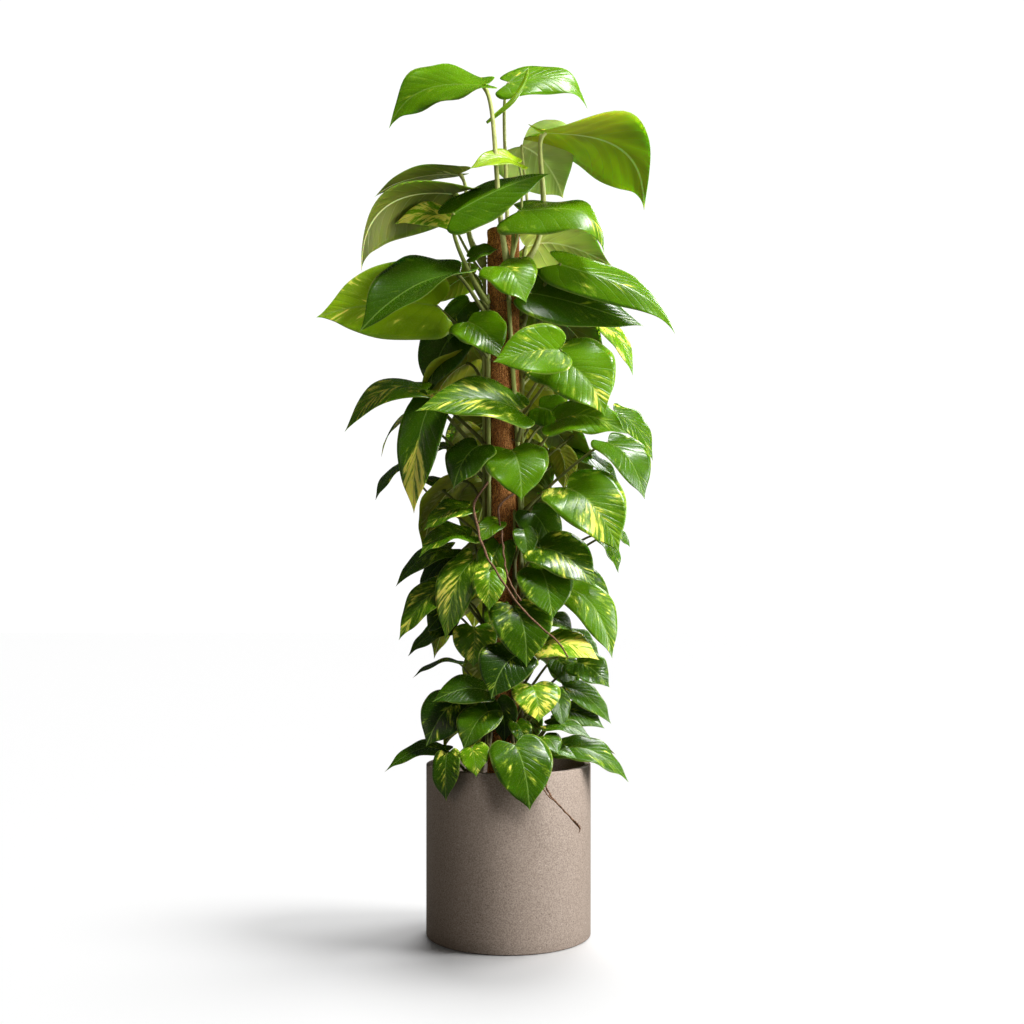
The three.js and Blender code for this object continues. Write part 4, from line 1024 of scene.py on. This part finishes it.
# The tone picks the green and is partly painted light and shade: leaves in shade and low ones darker, lit and
# high ones brighter.
green = ramped(tree, tone_and_light, {
    0.0: (0.012, 0.036, 0.001), 0.35: (0.058, 0.15, 0.001),
    0.65: (0.15, 0.34, 0.002), 1.0: (0.34, 0.52, 0.010),
})
body = blend(tree, between(tree, mask["Mottle"], 0.3, 0.7, 0.0, 0.35), green, (0.014, 0.05, 0.004, 1))
body = stained(tree, body, (
    (mask["Veins"], 0.12, (0.14, 0.28, 0.03)),
    (mask["Halo"], 0.55, (0.32, 0.48, 0.03)),
    (mask["Streaks"], 0.92, (0.80, 0.76, 0.12)),
    (mask["Rib"], 0.45, (0.24, 0.38, 0.07)),
    # The pale band at the edge is partly a paler margin and partly painted light shining through the thin
    # edge.
    (pale_edge_and_glow, 0.4, (0.40, 0.48, 0.10)),
))
tree.links.new(body, shader.inputs["Base Color"])
skin = noise(tree, object_place(tree), 420.0, 2.0)
tree.links.new(between(tree, skin, 0.3, 0.7, 0.2, 0.3), shader.inputs["Roughness"])
sunk_veins = maths(tree, "MULTIPLY", mask["Veins"], 0.2)
height = maths(tree, "SUBTRACT", maths(tree, "MULTIPLY", mask["Swell"], 0.52), sunk_veins)
height = maths(tree, "ADD", height, maths(tree, "MULTIPLY", skin, 0.008))
relief(tree, shader, height, 0.0009, 0.7)

lower_face, tree, shader = finish(
    "blade_lower_face", 0.5, Specular_IOR_Level=0.18, Subsurface_Weight=0.65, Subsurface_Scale=0.0016,
    Subsurface_Radius=SAP_RADIUS,
)
mask, tone_and_light, pale_edge_and_glow = blade_nodes(tree)
# The tone picks the lower face's colour and is partly painted light and shade: its pale yellow-green top end
# stands partly for light shining through a backlit blade.
body = ramped(tree, tone_and_light, {
    0.0: (0.055, 0.078, 0.018), 0.72: (0.66, 0.70, 0.016), 0.8: (0.64, 0.74, 0.17), 1.0: (0.75, 0.88, 0.3),
})
body = blend(tree, between(tree, mask["Mottle"], 0.3, 0.7, 0.0, 0.4), body, (0.045, 0.08, 0.015, 1))
body = stained(tree, body, (
    (mask["Swell"], 0.3, (0.12, 0.20, 0.02)),
    (mask["Streaks"], 0.6, (0.55, 0.58, 0.22)),
    (mask["Veins"], 0.3, (0.34, 0.42, 0.10)),
    (mask["Rib"], 0.8, (0.8, 0.86, 0.38)),
    # The pale band at the edge is partly a paler margin and partly painted light shining through the thin
    # edge.
    (pale_edge_and_glow, 0.4, (0.40, 0.46, 0.12)),
))
tree.links.new(body, shader.inputs["Base Color"])
raised_veins = maths(tree, "MULTIPLY", mask["Veins"], 0.2)
height = maths(tree, "ADD", raised_veins, maths(tree, "MULTIPLY", mask["Swell"], -0.6))
relief(tree, shader, height, 0.0018, 0.8)

stalk_skin, tree, shader = finish("stalk_skin", 0.42, Specular_IOR_Level=0.28)
tone_and_light = node(tree, "ShaderNodeAttribute", attribute_name="tone_and_light").outputs["Fac"]
place = object_place(tree)
grainy = noise(tree, mapped(tree, place, Scale=(1.0, 1.0, 0.12)), 700.0, 2.0)
patch = noise(tree, place, 40.0, 2.0)
body = ramped(tree, tone_and_light, {
    0.0: (0.11, 0.06, 0.025), 0.35: (0.14, 0.15, 0.03), 0.7: (0.30, 0.38, 0.07), 1.0: (0.60, 0.64, 0.22),
})
body = blend(tree, between(tree, grainy, 0.35, 0.65, 0.0, 0.3), body, (0.05, 0.07, 0.02, 1))
body = blend(tree, between(tree, patch, 0.5, 0.8, 0.0, 0.4), body, (0.42, 0.40, 0.16, 1))
tree.links.new(body, shader.inputs["Base Color"])
relief(tree, shader, grainy, 0.0006)

root_bark, tree, shader = finish("aerial_root_bark", 0.8, Specular_IOR_Level=0.3)
place = object_place(tree)
bark = grain(tree, 0.0022, place)
ridges = between(tree, bark["Grain"], 0.35, 0.65)
body = blend(tree, ridges, (0.06, 0.028, 0.014, 1), (0.26, 0.14, 0.075, 1))
tree.links.new(body, shader.inputs["Base Color"])
relief(tree, shader, bark["Height"], 0.0008)

MATERIALS = [upper_face, lower_face, stalk_skin, root_bark]
UPPER, LOWER, STALK, BARK = range(4)
BLADE_SLOTS = np.array([UPPER] * BLADE_COLUMNS + [LOWER] * (BLADE_COLUMNS - 1) + [UPPER])


class Growth:
    """Gathers the skins of one stem and its leaves into one mesh."""

    def __init__(self):
        self.points, self.faces, self.slots, self.corners, self.marks = [], [], [], [], []
        self.count = 0

    def add(self, rings, slot, tone_and_light=0.5, streak=0.0, seed=0.0, places=None, margin=0.0):
        """Adds a stack of closed rings with a flat cap at both ends. slot is a material's number, or one for
        each column of faces, places each point's place on the blade, and margin its nearness to the edge."""
        rows, sides = rings.shape[:2]
        faces, corners = grid_faces(rows, sides, first=self.count)
        if places is not None:
            corners = places.reshape(-1, 2)[faces - self.count]
        slots = np.broadcast_to(slot, (rows - 1, sides)).ravel()
        caps = [np.arange(sides)[::-1] + self.count, np.arange(sides) + self.count + (rows - 1) * sides]
        self.faces += faces[:, ::-1].tolist() + [cap[::-1].tolist() for cap in caps]
        self.corners += [corners[:, ::-1].reshape(-1, 2), np.full((2 * sides, 2), 0.5)]
        self.slots += [slots, np.broadcast_to(np.ravel(slot)[-1], 2)]
        self.points.append(rings.reshape(-1, 3))
        marks = [np.broadcast_to(mark, (rows, sides)).ravel() for mark in (tone_and_light, streak, seed, margin)]
        self.marks.append(np.stack(marks, 1))
        self.count += rows * sides

    def piece(self, name):
        """The gathered skins as one object. The points that meet at each blade's notch and tip are merged."""
        marks = np.concatenate(self.marks).T
        made = piece(
            name, np.concatenate(self.points), self.faces, MATERIALS, np.concatenate(self.slots),
            np.concatenate(self.corners), dict(zip(MARKS, marks)),
        )
        skins = bmesh.new()
        skins.from_mesh(made.data)
        bmesh.ops.remove_doubles(skins, verts=skins.verts, dist=1e-7)
        skins.to_mesh(made.data)
        skins.free()
        return made


for number, stem in enumerate(STEMS):
    draw = np.random.default_rng(100 + number)
    leaves = []
    for row in stem["leaves"]:
        # A row may leave out the last of its three extra numbers, or all of them. Low leaves are made darker
        # and
        # high ones brighter: painted shade and painted light, since the top of the plant gets more light.
        late, tip_streak, twist = row[13:] + (0.0, row[12], 0.0)[len(row) - 13:]
        leaf = leaf_frame(seen(*row[:3]), seen(*row[3:6]), *row[6:11], late, twist)
        tone_and_light = row[11] + mix(-0.09, 0.07, smooth(row[1], 650, 1000))
        leaves.append(leaf | dict(tone_and_light=tone_and_light, streak=row[12], tip_streak=tip_streak))
    if "behind" in stem:
        for leaf in leaves_behind(stem):
            share = draw.choice([0.1, 0.25, 0.5, 0.7])
            leaves.append(leaf | dict(tone_and_light=draw.uniform(0.15, 0.6), streak=share, tip_streak=share))
    nodes_at = np.array(roots_of(stem, leaves))

    growth = Growth()
    z = np.arange(STEM_FOOT, stem["top"] + STEM_STEP, STEM_STEP)
    route = stem_axis(stem, z)
    radius = mix(STEM_RADIUS, STEM_END_RADIUS, smooth(z, stem["top"] - 150, stem["top"]))
    radius = radius * (0.94 + 0.22 * hump(z[:, None] - nodes_at, 5).max(1))
    radius[-1] *= 0.4
    young = smooth(z, 450, 950)[:, None]
    growth.add(tube(route, radius, STEM_SIDES, np.array([1.0, 0.2, 0])), STALK, tone_and_light=0.15 + 0.65 * young)

    for leaf, root_z in zip(leaves, nodes_at):
        seed = draw.uniform(0, 10)
        leaf["wave"] = draw.uniform(0.015, 0.045)
        rings, places, margin = blade_rings(leaf, draw)
        streak = mix(leaf["streak"], leaf["tip_streak"], smooth(places[..., 0], 0.18, 0.5))
        growth.add(rings, BLADE_SLOTS, leaf["tone_and_light"], streak, seed, places, margin)
        root = stem_axis(stem, root_z)
        route = stalk_route(leaf, root, STALK_STEPS)
        s = np.linspace(0, 1, STALK_STEPS)
        high = smooth(leaf["base"][2], *LARGE_LEAVES)
        stout = mix(0.7, mix(1.05, 1.45, high), smooth(leaf["length"], 80, 220))
        swollen = 1 + 0.45 * hump(s, 0.07) + 0.3 * hump(s - 0.95, 0.05)
        radius = stout * mix(STALK_RADIUS, STALK_END_RADIUS, s) * swollen
        growth.add(tube(route, radius, STALK_SIDES, leaf["side"]), STALK, tone_and_light=0.4 + 0.52 * high)

        # Short roots reach round the pole from each place where a stalk leaves the stem.
        for _ in range(SHORT_ROOTS):
            away = unit((root - (POLE_X, 0, 0)) * (1, 1, 0))
            level = np.cross(away, UP) * draw.choice([-1, 1])
            reach = draw.uniform(8, 17)
            s = np.linspace(0, 1, SHORT_ROOT_STEPS)[:, None]
            drop = draw.uniform(-8, 3)
            sprig = root + level * reach * s + UP * drop * s**1.5 - away * 4.0 * s**2 * min(1.0, reach / 12)
            if root_z > SHORT_ROOTS_FROM:
                growth.add(tube(sprig, np.linspace(*SHORT_ROOT_RADII, SHORT_ROOT_STEPS), 5, UP), BARK)

    for owner, (first, last), points in AERIAL_ROOTS:
        if owner == stem["name"]:
            line = np.array([seen(*point) for point in points])
            if len(points) > 4:
                line[0] = stem_axis(stem, line[0][2])
            s = np.linspace(0, 1, ROOT_STEPS)
            wander = np.stack([np.sin(61 * s), np.sin(47 * s + 1), np.sin(53 * s + 2)], 1)
            route = spline(line, s) + wander * 0.8 * np.sin(np.pi * s)[:, None]
            growth.add(tube(route, mix(first, last, s) * (1 + 0.12 * np.sin(90 * s)), 8, UP), BARK)

    if stem["name"] == "vine_front":
        s = np.linspace(0, 1, FURLED_STEPS)
        route = spline([seen(*point) for point in FURLED_LEAF], s)
        thick = 5.2 * np.sin(np.pi * np.clip(0.12 + 0.86 * s, 0, 1)) ** 0.8
        growth.add(furled(route, thick), UPPER, tone_and_light=0.8, streak=0.1)

    made = growth.piece(stem["name"].replace("vine", "leafy_stem"))
    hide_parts(stem["name"])
    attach(made, "root")
